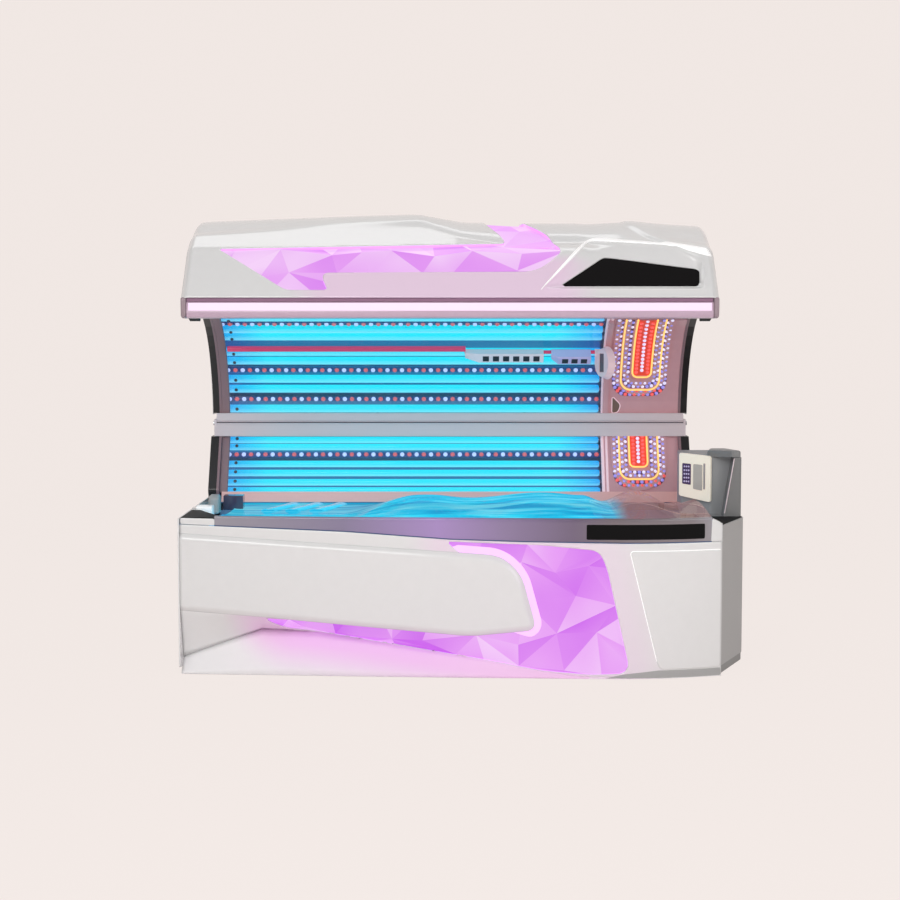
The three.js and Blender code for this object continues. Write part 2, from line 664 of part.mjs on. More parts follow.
const consoleGroup = new THREE.Group();
const panelTurn = Math.atan2(panelRight[1] - panelLeft[1], panelRight[0] - panelLeft[0]);
consoleGroup.position.set(panelLeft[0], panelLeft[1], 0);
consoleGroup.rotation.z = panelTurn;
model.add(consoleGroup);
const panelWidth = Math.hypot(panelRight[1] - panelLeft[1], panelRight[0] - panelLeft[0]);
const panelFoot = podTop + 56;
const panelTop = panelFoot + 206;
const panelThick = 12;
const panelFace = -fit - panelThick;
add('console_panel', throughY([[2, panelFoot + 22], [panelWidth - 2, panelFoot], [panelWidth - 2, panelTop - 10],
  [2, panelTop]], panelFace, -fit, 10), consoleCream, consoleGroup);
const plateFace = panelFace - fit;
add('console_display', throughY([[70, panelFoot + 54], [112, panelFoot + 48], [112, panelFoot + 158],
  [70, panelFoot + 160]], plateFace - 2, plateFace, 4),
  displayGlass, consoleGroup);
add('console_keypad', throughY([[18, panelFoot + 74], [58, panelFoot + 70], [58, panelFoot + 160],
  [18, panelFoot + 162]], plateFace - 1.5, plateFace, 4),
  keypadPurple, consoleGroup);

// Inside the base: ballast tray and cooling fan
const ballasts = [block(-700, 140, 420, 700, frameTop + fit, frameTop + fit + 6)];
for (let i = 0; i < 5; i += 1) {
  const x = -670 + i * 160;
  ballasts.push(alongX([[450, frameTop + 4], [670, frameTop + 4], [670, frameTop + 60], [450, frameTop + 60]],
    x, x + 90, 10));
}
ballasts.push(block(-700, 140, 660, frameRear + 2, frameTop + fit, frameTop + fit + 6));
add('ballast_tray', join(...ballasts), brightSteel);

const fanX = 420;
const fanHalf = 115;
const fanZ = frameTop + fit + fanHalf;
const fanFront = frameRear - 40;
const fanBack = frameRear + tube;
const fanBore = 108;
const fanShaft = 6;
const fanBox = throughY([[fanX - fanHalf, fanZ - fanHalf], [fanX + fanHalf, fanZ - fanHalf],
  [fanX + fanHalf, fanZ + fanHalf], [fanX - fanHalf, fanZ + fanHalf]], fanFront, fanBack, 10)
  .subtract(rodY(fanBore, fanFront - 5, fanBack + 5, fanX, fanZ, 28));
const spider = [
  block(fanX - fanBore - 2, fanX + fanBore + 2, fanBack - 8, fanBack, fanZ - 7, fanZ + 7),
  block(fanX - 7, fanX + 7, fanBack - 8, fanBack, fanZ - fanBore - 2, fanZ + fanBore + 2),
  rodY(40, fanBack - 22, fanBack, fanX, fanZ, 20),
  rodY(fanShaft, fanFront + 4, fanBack - 10, fanX, fanZ, 12),
];
add('base_fan_housing', join(fanBox, ...spider), darkPlastic);
const bladeBack = fanBack - 22 - fit;
const blades = [rodY(36, fanFront + 10, bladeBack, fanX, fanZ, 20)];
for (let i = 0; i < 7; i += 1) {
  const blade = new THREE.BoxGeometry(74, 4, 44).rotateX(THREE.MathUtils.degToRad(38)).translate(66, 0, 0);
  blade.rotateY(i * 2 * Math.PI / 7).translate(fanX, (fanFront + 10 + bladeBack) / 2, fanZ);
  blades.push(solid(blade));
}
add('base_fan_impeller', join(...blades).subtract(rodY(fanShaft + fit, fanFront, fanBack, fanX, fanZ, 12)),
  darkPlastic);

// Gas springs: fixed cylinders, and rods whose eyes hold the canopy's lever pins in a slot
const pinZ = hingeZ - leverDrop;
const leverPin = 6;
const pinDrift = Math.hypot(leverReach, leverDrop) - leverReach;
const boreFoot = 690;
const rodEnd = 705;
for (const side of [-1, 1]) {
  const name = side < 0 ? 'left' : 'right';
  const x = side * strutX;
  const cylinder = rodZ(strutRadius, strutFoot, strutTop, x, strutY, 18)
    .subtract(rodZ(rodRadius + fit, boreFoot, strutTop + 10, x, strutY, 18));
  add(`strut_cylinder_${name}`, cylinder, darkPlastic);
  const eyeHalf = leverPin + pinDrift / 2 + 1;
  const eyeMiddle = strutY + pinDrift / 2;
  const eyeTall = leverPin + 1;
  const rim = 7;
  const eye = alongX([[eyeMiddle - eyeHalf - rim, pinZ - eyeTall - rim],
    [eyeMiddle + eyeHalf + rim, pinZ - eyeTall - rim], [eyeMiddle + eyeHalf + rim, pinZ + eyeTall + rim],
    [eyeMiddle - eyeHalf - rim, pinZ + eyeTall + rim]],
  x - 4, x + 4, 8);
  const slot = alongX([[eyeMiddle - eyeHalf, pinZ - eyeTall], [eyeMiddle + eyeHalf, pinZ - eyeTall],
    [eyeMiddle + eyeHalf, pinZ + eyeTall], [eyeMiddle - eyeHalf, pinZ + eyeTall]], x - 10, x + 10, 4);
  const stem = rodZ(rodRadius, rodEnd, pinZ - eyeTall - 3, x, strutY, 18);
  add(`strut_rod_${name}`, stem.add(eye).subtract(slot), brightSteel);
}

// Canopy shell: an outer form lofted through outlines that follow the top's rise and fall
const shoulder = halfCanopy - 32;
const topLift = [[-halfCanopy, -6], [-shoulder, 0], [-140, 10], [60, -30], [240, -36], [590, -36], [690, -22],
  [760, -14], [shoulder, -30], [halfCanopy, -34]];
const shellLine = [[-rimReach, rimTop], [-159, 1735], [-59, 1800], [31, 1852], [131, 1888], [221, 1868], [311, 1800],
  [502, 1605], [631, 1452], [711, 1350], [781, 1230], [801, 1160], [771, shellFoot]].map(([y, z]) => [archY + y, z]);
const crownFrom = 2;
const crownTo = 6;
const shellStations = [-halfCanopy, -shoulder - 23, -shoulder, -640, -140, -40, 60, 240, 590, 690, 760, shoulder,
  shoulder + 23, halfCanopy];
function shellOutline(x, inset) {
  const fromEnd = halfCanopy - Math.abs(x);
  const round = endRound * Math.max(0, 1 - fromEnd / 32) ** 2;
  const lift = along(topLift, x);
  const raised = shellLine.map(([y, z], i) => [y, z + (i >= crownFrom && i <= crownTo ? lift : 0)]);
  return shifted(raised, -round - inset);
}
function shellForm(inset, endInset, innerArc, drop) {
  return loft(shellStations.map((x) => {
    const skin = shellOutline(x, inset);
    const [frontEdge, rearEdge] = [skin[0], skin[skin.length - 1]];
    const open = [[frontEdge[0], frontEdge[1] - drop], ...skin, [rearEdge[0], rearEdge[1] - drop]];
    const shut = [[frontEdge[0], rimTop + fit], ...skin.slice(1, -1), [rearEdge[0], shellFoot]];
    return {
      x: x * (halfCanopy - endInset) / halfCanopy,
      points: [...(drop > 0 ? open : shut), ...arcPoints(innerArc, 6, 108, 14)],
    };
  }));
}
const shellOuter = shellForm(0, 0, 600, 0);
const shellInner = shellForm(wall, wall, 520, 60);
const canopyGlowOutline = [
  [130 - halfCanopy, 1734], [-672, 1559], [-508, 1559], [-529, 1631], [360, 1636], [473, 1725],
  [390, 1800], [301, 1845], [300, 1930], [100, 1930], [120, 1865], [231, 1757],
];
const namePanelEnd = halfCanopy - 70;
const namePanelOutline = [
  [445, 1586], [namePanelEnd - 14, 1586], [namePanelEnd - 4, 1596], [namePanelEnd, 1650], [namePanelEnd - 12, 1663],
  [663, 1711], [636, 1711],
];
const glowBack = archY + 271;
const cutFront = rimFront - 40;
const cutBack = rimFront + 280;
const namePrism = (radius) => throughY(namePanelOutline, cutFront, cutBack, radius);
const glowPrism = throughY(canopyGlowOutline, cutFront, glowBack, 8);
const rimHalf = halfCanopy - endRound - 2;
const lipFoot = rimTop + fit;
const shellLip = alongX([[rimFront + 3, lipFoot], [rimFront + 60, lipFoot], [rimFront + 60, lipFoot + 4],
  [rimFront + 7, lipFoot + 4]], -rimHalf, rimHalf);
add('canopy_shell', shellOuter.subtract(shellInner).subtract(glowPrism).subtract(namePrism(8)).add(shellLip),
  whiteShell);

// Panels behind the openings of the shell, wider than these by a flange
function flanged(outline, flange) {
  const middle = new THREE.Box2().setFromPoints(outline.map((point) => new THREE.Vector2(...point)));
  const centre = middle.getCenter(new THREE.Vector2());
  const size = middle.getSize(new THREE.Vector2());
  return outline.map(([x, z]) => [
    centre.x + (x - centre.x) * (1 + 2 * flange / size.x), centre.y + (z - centre.y) * (1 + 2 * flange / size.y),
  ]);
}
const panelSkin = shellForm(wall + fit, wall + fit, 598, 60).subtract(
  shellForm(wall + fit + paneThick, wall + 2 * fit + paneThick, 520, 90));
add('canopy_glow_panel',
  panelSkin.intersect(throughY(flanged(canopyGlowOutline, 8), cutFront, glowBack + 12)), glowAcrylic);
add('canopy_name_panel', panelSkin.intersect(throughY(flanged(namePanelOutline, 8), cutFront, cutBack)), blackGloss);

// Rim along the open edge, its light strip and its bumpers
const stripFoot = 1477;
const stripTop = 1510;
const ledge = 1453;
const rimKnee = rimFront + 88;
const rimBack = rimFront + 160;
const rimLine = [[rimFront + 1, stripFoot - 7], [rimKnee, 1446], [rimBack, ledge - 4], [rimBack, ledge],
  [rimKnee + 10, ledge], [rimKnee + 10, rimTop - fit],
  [rimFront + 18, rimTop - fit], [rimFront + 18, stripFoot - fit], [rimFront + 1, stripFoot - fit]];
add('canopy_rim', alongX(rimLine, -rimHalf, rimHalf), aluminium);
add('canopy_light_strip', alongX([[rimFront, stripFoot], [rimFront + 18 - fit, stripFoot],
  [rimFront + 18 - fit, stripTop], [rimFront, stripTop]], -rimHalf + 8, rimHalf - 8, 5), stripLight);
for (const side of [-1, 1]) {
  const [x0, x1] = side < 0 ? [-rimHalf + 4, -rimHalf + 46] : [rimHalf - 46, rimHalf - 4];
  const pad = alongX([[rimFront + 32, 1446], [rimFront + 82, 1434], [rimFront + 88, 1445.5], [rimFront + 32, 1460]],
    x0, x1, 4);
  add(side < 0 ? 'rim_bumper_left' : 'rim_bumper_right', pad, rubber);
}

// Canopy rail and the ends of the arch
const canopyRailRoof = hingeZ + canopyRailTop;
let canopyRail = join(
  block(-railHalf, railHalf, railFront, railBack, hingeZ + canopyRailFoot, canopyRailRoof),
  block(-railHalf, railHalf, hingeY - 6, hingeY + 6, hingeZ, hingeZ + canopyRailFoot + 1),
  rodX(beadRadius, -railHalf, railHalf, hingeY, hingeZ, 24),
);
canopyRail = canopyRail.subtract(rodX(pinRadius + fit, -railHalf - 9, -railHalf + pinSeat + 2, hingeY, hingeZ, 16))
  .subtract(rodX(pinRadius + fit, railHalf - pinSeat - 2, railHalf + 9, hingeY, hingeZ, 16));
add('canopy_rail', canopyRail, aluminium);

const archFoot = canopyRailRoof + fit;
const archEnd = 180 - angleAt(paneArc, ledge + fit);
const lampEnd = 111;
const endOutline = [...arcPoints(paneArc - 2, angleAt(paneArc - 2, archFoot), archEnd - 3, 14),
  ...arcPoints(endArc, angleAt(endArc, archFoot), archEnd - 5, 14).reverse()];
add('canopy_end_left', alongX(endOutline, -cheekInner - 40, -cheekInner), darkPlastic);
add('canopy_end_right', alongX(endOutline, cheekInner, cheekInner + 40), darkPlastic);

// Lamps, reflector, LED strips and the clear pane of the arch
const inside = cheekInner - 0.5;
add('canopy_reflector', arcSheet(reflectorArc, sheet, angleAt(reflectorArc, archFoot + 14), lampEnd, -inside, inside),
  reflectorSheet);
const canopyLamps = [];
for (let k = -1; k <= 12; k += 1) {
  const turn = firstPairAngle + pairPitch * Math.floor(k / 2) + pairGap * Math.abs(k % 2);
  const [y, z] = arcPoint(lampArc, turn);
  canopyLamps.push(rodX(lampRadius - 1, lampLeft - 1, lampRight + 1, y, z));
}
for (const x of [lampLeft - holderWidth, lampRight]) {
  canopyLamps.push(arcSheet(paneArc + 14, reflectorArc - paneArc - 14 - facetClear,
    angleAt(paneArc + 14, archFoot + 16),
    lampEnd - 1, x, x + holderWidth));
}
add('canopy_lamp_bank', join(...canopyLamps), lampGlass);
stripAngles.forEach((degrees, i) => {
  const half = 0.9;
  add(`canopy_led_strip_${i + 1}`, arcSheet(lampArc - 6, 12, degrees - half, degrees + half, lampLeft + fit,
    lampRight - fit, 1), ledBoard);
});
add('canopy_acrylic', arcSheet(paneArc, paneThick, angleAt(paneArc, archFoot), archEnd, -inside, dividerAt - 1),
  clearAcrylic);

// Face panel of the arch: a curved plate with raised tracks and a divider rib beside the lamps
const faceTopAngle = 64;
const faceThick = 12;
const facePlate = arcSheet(paneArc, faceThick, angleAt(paneArc, archFoot), faceTopAngle, dividerAt, inside, 10);
const faceRib = arcSheet(paneArc - 18, 19, angleAt(paneArc - 18, archFoot), faceTopAngle, dividerAt,
  dividerAt + 24, 10);
const faceSkin = arcSheet(paneArc - trackRise, trackRise + 1, 12, faceTopAngle, dividerAt + 4, inside - 4, 10);
const faceTracks = [0, 1].map((ring) => faceSkin.intersect(trackPrism(
  trackLeft + ring * trackStep, trackRight - ring * trackStep, 1500, 1098 + ring * trackStep, trackWidth,
  archY + 211, archY + 611)));
add('canopy_face_panel', join(facePlate, faceRib, ...faceTracks), facePlastic);

// Air duct clipped to the pane, two swivelling nozzles on its slim end and the round face nozzle
const ductRadius = 11;
const spigot = 8;
const ductArc = paneArc - facetClear - ductRadius;
const [ductY, ductZ] = arcPoint(ductArc, ductAngle);
const ductLeft = lampLeft + 50;
const nozzleStart = 68;
const faceNozzleAt = 655;
add('air_duct', rodX(ductRadius, ductLeft, nozzleStart - 2, ductY, ductZ, 14)
  .add(rodX(spigot, nozzleStart - 10, faceNozzleAt, ductY, ductZ, 14)), ductRed);

// A nozzle's section is round about the duct and opens inwards to a flat face
const inward = THREE.MathUtils.degToRad(ductAngle + 180);
function nozzleSection(reach, half, tilt) {
  const cos = Math.cos(inward + tilt);
  const sin = Math.sin(inward + tilt);
  const place = (u, v) => [ductY + u * cos - v * sin, ductZ + u * sin + v * cos];
  const back = [];
  const hub = ductRadius - 0.6;
  for (let i = 0; i <= 6; i += 1) {
    const angle = Math.PI / 2 + Math.PI * i / 6;
    back.push(place(hub * Math.cos(angle), hub * Math.sin(angle)));
  }
  return [...back, place(reach, -half), place(reach, half)];
}
function nozzle(x0, x1, taper, reach, half, tilt, openings, openingWidth) {
  const tip = nozzleSection(reach * 0.6, half * 0.6, tilt);
  const full = nozzleSection(reach, half, tilt);
  const body = loft([{ x: x0, points: tip }, { x: x0 + taper, points: full }, { x: x1, points: full }]);
  const bore = rodX(spigot + fit, x0 - 5, x1 + 5, ductY, ductZ, 14);
  const pitch = (x1 - x0 - taper - 20) / openings;
  const mouth = nozzleSection(reach + 6, half * 0.55, tilt);
  const throat = nozzleSection(reach - 14, half * 0.55, tilt);
  let cut = body.subtract(bore);
  for (let i = 0; i < openings; i += 1) {
    const x = x0 + taper + 10 + pitch * (i + 0.5) - openingWidth / 2;
    const pocket = [throat[throat.length - 2], mouth[mouth.length - 2],
      mouth[mouth.length - 1], throat[throat.length - 1]];
    cut = cut.subtract(alongX(pocket, x, x + openingWidth));
  }
  return cut;
}
add('air_nozzle_left', nozzle(nozzleStart, 420, 60, 46, 25, 0, 6, 28), ledBoard);
add('air_nozzle_right', nozzle(455, 632, 30, 50, 27, THREE.MathUtils.degToRad(14), 3, 28), ledBoard);

const discRadius = 74;
const discDepth = 30;
const discTurn = THREE.MathUtils.degToRad(24);
const discPlace = arcPoint(paneArc - 20 - discRadius, ductAngle + 1);
function onDisc(geometry) {
  return solid(geometry.rotateZ(discTurn).translate(dividerAt - 10, ...discPlace));
}
const disc = new THREE.CylinderGeometry(discRadius, discRadius - 12, discDepth, 28).rotateZ(-Math.PI / 2);
const discSlot = new THREE.BoxGeometry(26, 42, 84).translate(-discDepth / 2, 0, 0);
const discNeck = arcSheet(paneArc - 44, 38, ductAngle - 1.4, ductAngle + 1.4, faceNozzleAt - 4, dividerAt - fit, 1);
const discBore = rodX(spigot + fit, faceNozzleAt - 20, faceNozzleAt + 2, ductY, ductZ, 14);
add('face_nozzle', onDisc(disc).subtract(onDisc(discSlot)).add(discNeck).subtract(discBore), facePlastic);

// Canopy frame: a tube behind the rail, ribs round the arch, a front spar and the gas spring levers
const ribArc = reflectorArc + sheet + 2 * facetClear;
const ribDeep = 42;
const frameBars = [block(-railHalf + 33, railHalf - 33, railBack + fit, railBack + 40, hingeZ + 3.5, hingeZ + 38.5)];
for (const x of [-strutX + 12, -340, 340, strutX - 20]) {
  frameBars.push(arcSheet(ribArc, ribDeep, 1.6, 110, x, x + 8, 14));
}
frameBars.push(arcSheet(ribArc, ribDeep, 106.5, 109.5, -railHalf + 28, railHalf - 28, 1));
for (const side of [-1, 1]) {
  const [x0, x1] = side < 0 ? [-strutX + 11, -strutX + 19] : [strutX - 19, strutX - 11];
  frameBars.push(alongX([[railBack + 8, hingeZ + 13], [railBack + 8, hingeZ + 38], [railBack + 40, hingeZ + 38],
    [strutY + 16, pinZ + 4], [strutY + 10, pinZ - 12], [strutY - 12, pinZ - 12]], x0, x1, 6));
  const [p0, p1] = side < 0 ? [-strutX - 10, -strutX + 12] : [strutX - 12, strutX + 10];
  frameBars.push(rodX(leverPin, p0, p1, strutY, pinZ, 16));
}
add('canopy_frame', join(...frameBars), paintedSteel);

// The origin is under the middle of the whole bed, on the floor
const bed = new THREE.Group();
bed.add(model);
model.updateMatrixWorld(true);
const bounds = new THREE.Box3().setFromObject(model);
const middle = bounds.getCenter(new THREE.Vector3());
model.position.set(-middle.x, -middle.y, -bounds.min.z);

export default bed;
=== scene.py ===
import math

import bmesh
import bpy
import numpy as np
from mathutils import Matrix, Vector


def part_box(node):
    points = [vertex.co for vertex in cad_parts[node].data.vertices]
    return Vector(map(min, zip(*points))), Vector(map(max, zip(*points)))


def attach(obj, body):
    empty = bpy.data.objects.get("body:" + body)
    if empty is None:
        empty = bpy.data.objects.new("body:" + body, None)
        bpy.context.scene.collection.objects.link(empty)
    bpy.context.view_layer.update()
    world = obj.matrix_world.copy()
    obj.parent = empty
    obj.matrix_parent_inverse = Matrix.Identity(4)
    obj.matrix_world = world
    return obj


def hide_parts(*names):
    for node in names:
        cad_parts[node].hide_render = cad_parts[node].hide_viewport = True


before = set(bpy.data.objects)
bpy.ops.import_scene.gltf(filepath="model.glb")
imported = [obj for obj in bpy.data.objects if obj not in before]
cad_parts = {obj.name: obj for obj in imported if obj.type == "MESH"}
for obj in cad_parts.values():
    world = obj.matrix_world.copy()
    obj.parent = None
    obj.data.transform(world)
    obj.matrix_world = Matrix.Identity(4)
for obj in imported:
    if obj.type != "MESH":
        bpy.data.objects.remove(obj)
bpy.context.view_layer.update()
scene = bpy.context.scene
scene.view_settings.view_transform = "Standard"

# Bed millimetres run from the middle of the bed, from the front plane backwards and from the floor up
railDepth = 1000
railLow, railHigh = (np.array(corner) * 1000 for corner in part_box("side_rail"))
bedMiddle = (railLow[0] + railHigh[0]) / 2
bedFront = railLow[1] - railDepth


def linear(hexText):
    # the sRGB curve undone, channel by channel
    level = np.array([int(hexText[i:i + 2], 16) for i in (1, 3, 5)]) / 255
    level = np.where(level < 0.04045, level / 12.92, ((level + 0.055) / 1.055) ** 2.4)
    return (*level.tolist(), 1.0)


def unit(vectors):
    # each vector over its own length
    return vectors / np.linalg.norm(vectors, axis=-1, keepdims=True)


def addNode(tree, kind, sockets=None, **settings):
    # sockets take a value or another node's output
    node = tree.nodes.new("ShaderNode" + kind)
    for key, value in settings.items():
        setattr(node, key, value)
    for key, value in (sockets or {}).items():
        if isinstance(value, bpy.types.NodeSocket):
            tree.links.new(value, node.inputs[key])
        else:
            node.inputs[key].default_value = value
    return node


def mathNode(tree, operation, *values):
    # the output of one sum of values or sockets
    return addNode(tree, "Math", dict(enumerate(values)), operation=operation).outputs[0]


def startMaterial(name):
    # an empty node tree to build a surface in
    material = bpy.data.materials.new(name)
    material.use_nodes = True
    material.node_tree.nodes.clear()
    return material, material.node_tree


def closeMaterial(material, tree, surface):
    # the surface put on the material's output
    addNode(tree, "OutputMaterial", {"Surface": surface})
    return material


def grainNoise(tree, place, size, detail=2.0):
    # noise with grains of the given size in mm
    return addNode(tree, "TexNoise", {"Vector": place, "Scale": 1000 / size, "Detail": detail}).outputs["Fac"]


def alongBed(tree, place):
    # the part of a place that runs along the bed
    return addNode(tree, "SeparateXYZ", {"Vector": place}).outputs["X"]


def frontFresnel(tree, index, normal):
    # Fresnel on front faces and none on back faces
    edge = addNode(tree, "Fresnel", {"IOR": index, "Normal": normal}).outputs[0]
    behind = addNode(tree, "NewGeometry").outputs["Backfacing"]
    return mathNode(tree, "MULTIPLY", edge, mathNode(tree, "SUBTRACT", 1.0, behind))


def colorRamp(tree, value, stops):
    # colours between (position, hex) stops
    ramp = addNode(tree, "ValToRGB", {"Fac": value})
    marks = ramp.color_ramp.elements
    for mark, (position, color) in zip(marks, (stops[0], stops[-1])):
        mark.position, mark.color = position, linear(color)
    for position, color in stops[1:-1]:
        marks.new(position).color = linear(color)
    return ramp


def solidFinish(name, color, rough, metal=0.0, coat=0.0, grain=6.0, tint=0.04, bump=0.02, stretch=(1, 1, 1),
                glow=None, shine=0.5, paintedGlow=None):
    # one base colour that drifts a little over grains of a size in mm, with the same drift in its roughness;
    # glow is (hex, strength), painted light on any part that is no lamp, and paintedGlow a second colour
    # mixed in by the mark of that name: the glow panels' pink light painted onto the surface
    material, tree = startMaterial(name)
    place = addNode(tree, "TexCoord").outputs["Object"]
    spread = addNode(tree, "Mapping", {"Vector": place, "Scale": stretch}).outputs["Vector"]
    noise = grainNoise(tree, spread, grain, 3.0)
    base = np.array(linear(color))
    ramp = addNode(tree, "ValToRGB", {"Fac": noise})
    ramp.color_ramp.elements[0].color = (*(base[:3] * (1 - tint)), 1)
    ramp.color_ramp.elements[1].color = (*np.minimum(base[:3] * (1 + tint), 1), 1)
    color = ramp.outputs["Color"]
    if paintedGlow:
        share = addNode(tree, "Attribute", attribute_name="paintedGlow").outputs["Fac"]
        color = addNode(tree, "MixRGB", {0: share, 1: color, 2: linear(paintedGlow)}).outputs[0]
    drift = {"Value": noise, "To Min": rough * 0.88, "To Max": rough * 1.12}
    roughness = addNode(tree, "MapRange", drift).outputs[0]
    relief = addNode(tree, "Bump", {"Height": noise, "Strength": bump, "Distance": 0.001}).outputs["Normal"]
    shader = addNode(tree, "BsdfPrincipled", {"Base Color": color, "Roughness": roughness,
                                              "Metallic": metal, "Normal": relief, "Coat Weight": coat,
                                              "Coat Roughness": 0.06, "Specular IOR Level": shine})
    if glow:
        shader.inputs["Emission Color"].default_value = linear(glow[0])
        shader.inputs["Emission Strength"].default_value = glow[1]
    return closeMaterial(material, tree, shader.outputs[0])


def clearSheet(name, tint, veil):
    # polished clear acrylic: light goes straight through, Fresnel gloss on both faces and a faint milky veil
    material, tree = startMaterial(name)
    place = addNode(tree, "TexCoord").outputs["Object"]
    noise = grainNoise(tree, place, 90)
    relief = addNode(tree, "Bump", {"Height": noise, "Strength": 0.05, "Distance": 0.004}).outputs["Normal"]
    through = addNode(tree, "BsdfTransparent", {"Color": linear(tint)}).outputs[0]
    milk = addNode(tree, "BsdfDiffuse", {"Color": linear("#e6ecf6")}).outputs[0]
    gloss = addNode(tree, "BsdfGlossy", {"Roughness": 0.04, "Normal": relief}).outputs[0]
    edge = frontFresnel(tree, 1.49, relief)
    body = addNode(tree, "MixShader", {0: veil, 1: through, 2: milk}).outputs[0]
    skin = addNode(tree, "MixShader", {0: edge, 1: body, 2: gloss}).outputs[0]
    return closeMaterial(material, tree, skin)


finishes = {
    # white, with the glow panels' pink light painted in where the paintedGlow mark is set
    "white_shell": solidFinish("moulded white ABS", "#e2e2e2", 0.24, coat=0.7, grain=40, tint=0.02,
                              paintedGlow="#edd3e9"),
    "grey_shell": solidFinish("moulded grey ABS", "#a8a8a8", 0.42, grain=3, bump=0.05),
    "hood_grey": solidFinish("moulded dark grey ABS", "#7c7c7c", 0.4, grain=3, bump=0.05),
    "dark_plastic": solidFinish("moulded charcoal ABS", "#3d383a", 0.38, grain=3, bump=0.05),
    "black_gloss": solidFinish("back-painted black acrylic", "#0d0b0c", 0.1, grain=60, shine=0.16),
    "rubber": solidFinish("black EPDM rubber", "#161616", 0.75, grain=2, bump=0.1),
    "aluminium": solidFinish("satin anodised aluminium", "#dccccf", 0.42, metal=0.1, grain=4,
                             stretch=(0.02, 1, 1)),
    # aluminium darkened and tinted blue: painted shade with lamp light in the gaps between the tubes
    "reflector": solidFinish("rolled aluminium sheet with painted blue shade", "#5d87ad", 0.3, metal=0.8, grain=5,
                             stretch=(0.03, 1, 1)),
    "painted_steel": solidFinish("black powder coat", "#55585b", 0.5, grain=1.5, bump=0.15),
    "bright_steel": solidFinish("ground steel rod", "#c6c6c9", 0.18, metal=1.0, grain=3,
                                stretch=(1, 1, 0.05)),
    "clear_acrylic": clearSheet("clear polished acrylic", "#f2f8ff", 0.03),
    "glow_acrylic": solidFinish("lit lilac acrylic", "#c978e6", 0.15, coat=0.5, grain=120, tint=0.2,
                                glow=("#e58cf6", 0.75)),
    "lamp_glass": solidFinish("lit lamp tube glass", "#58d8e8", 0.12, grain=30, glow=("#30e8ff", 0.9)),
    "strip_light": solidFinish("lit opal diffuser", "#b59fb5", 0.4, grain=20, glow=("#ffeaff", 0.62),
                               shine=0.2),
    "led_board": solidFinish("blue LED rail", "#3c4a86", 0.35, grain=8),
    # its faint glow is painted light that brightens the panels inside the arch
    "face_plastic": solidFinish("moulded pink PMMA panel", "#c99aa0", 0.25, coat=0.3, grain=30,
                                glow=("#c99298", 0.1)),
    # its glow is painted light on the duct inside the arch
    "duct_red": solidFinish("moulded red PVC duct", "#d83a68", 0.25, coat=0.3, grain=20,
                            glow=("#d83a68", 0.25)),
    # its faint glow is painted light
    "console_cream": solidFinish("moulded cream ABS", "#f7efdf", 0.4, grain=4, bump=0.05,
                                 glow=("#f7ecd6", 0.14)),
    "display_glass": solidFinish("display window", "#b6b2ab", 0.12, coat=0.5, grain=20),
    # its glow is painted light
    "nozzle": solidFinish("pale pink PMMA disc", "#e9c6c8", 0.3, coat=0.3, grain=30, glow=("#e8bcc0", 0.24)),
    "keypad": solidFinish("polyester membrane keypad", "#4a3560", 0.45, grain=2, bump=0.08),
}

slotNodes = {
    "white_shell": "front_cover front_pane toe_skirt left_end_cover rear_cover canopy_shell canopy_rim",
    "grey_shell": "side_pod",
    "hood_grey": "console_hood pod_plinth",
    "dark_plastic": "side_end_left side_end_right canopy_end_left canopy_end_right base_fan_housing "
                    "base_fan_impeller",
    "black_gloss": "canopy_name_panel bench_name_strip",
    "rubber": "rim_bumper_left rim_bumper_right foot_front_left foot_front_right foot_rear_left "
              "foot_rear_right",
    "aluminium": "side_rail canopy_rail",
    "reflector": "bench_reflector side_reflector canopy_reflector",
    "painted_steel": "base_frame canopy_frame ballast_tray strut_cylinder_left strut_cylinder_right",
    "bright_steel": "hinge_pin_left hinge_pin_right strut_rod_left strut_rod_right",
    "clear_acrylic": "bench_acrylic side_acrylic canopy_acrylic",
    "glow_acrylic": "front_glow_panel canopy_glow_panel",
    "lamp_glass": "bench_lamp_bank side_lamp_bank canopy_lamp_bank",
    "strip_light": "canopy_light_strip",
    "led_board": "side_led_strip canopy_led_strip_1 canopy_led_strip_2 canopy_led_strip_3",
    "face_plastic": "side_face_panel canopy_face_panel air_nozzle_left air_nozzle_right",
    "nozzle": "face_nozzle",
    "duct_red": "air_duct",
    "console_cream": "console_panel",
    "display_glass": "console_display",
    "keypad": "console_keypad",
}
for slotName, nodeNames in slotNodes.items():
    for nodeName in nodeNames.split():
        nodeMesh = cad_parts[nodeName].data
        nodeMesh.materials.clear()
        nodeMesh.materials.append(finishes[slotName])


cheekLook = {"outer": "#1d1a1b", "inner": "#8d7076", "split": 1.056}


def cheekFinish():
    # charcoal outer half and a warmer brown inner half
    material, tree = startMaterial("two-shot moulded cheek")
    place = addNode(tree, "TexCoord").outputs["Object"]
    across = alongBed(tree, place)
    across = mathNode(tree, "SUBTRACT", across, bedMiddle / 1000)
    across = mathNode(tree, "ABSOLUTE", across)
    broad = mathNode(tree, "LESS_THAN", across, cheekLook["split"])
    noise = grainNoise(tree, place, 3)
    shades = linear(cheekLook["outer"]), linear(cheekLook["inner"])
    color = addNode(tree, "MixRGB", {0: broad, 1: shades[0], 2: shades[1]}).outputs[0]
    rough = addNode(tree, "MapRange", {"Value": noise, "To Min": 0.26, "To Max": 0.34}).outputs[0]
    shader = addNode(tree, "BsdfPrincipled", {"Base Color": color, "Roughness": rough}).outputs[0]
    return closeMaterial(material, tree, shader)


cheek = cheekFinish()
for nodeName in ("side_end_left", "side_end_right", "canopy_end_left", "canopy_end_right"):
    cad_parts[nodeName].data.materials[0] = cheek
print("finishes on", sum(len(names.split()) for names in slotNodes.values()), "nodes")

# Studio: a pale floor that rises behind the bed, two soft boxes and an even sky
studio = {"paper": "#f3eae6", "sky": 0.4, "own": 0.96, "front": -14, "bend": 6, "radius": 4, "top": 16,
          "half": 22.0}


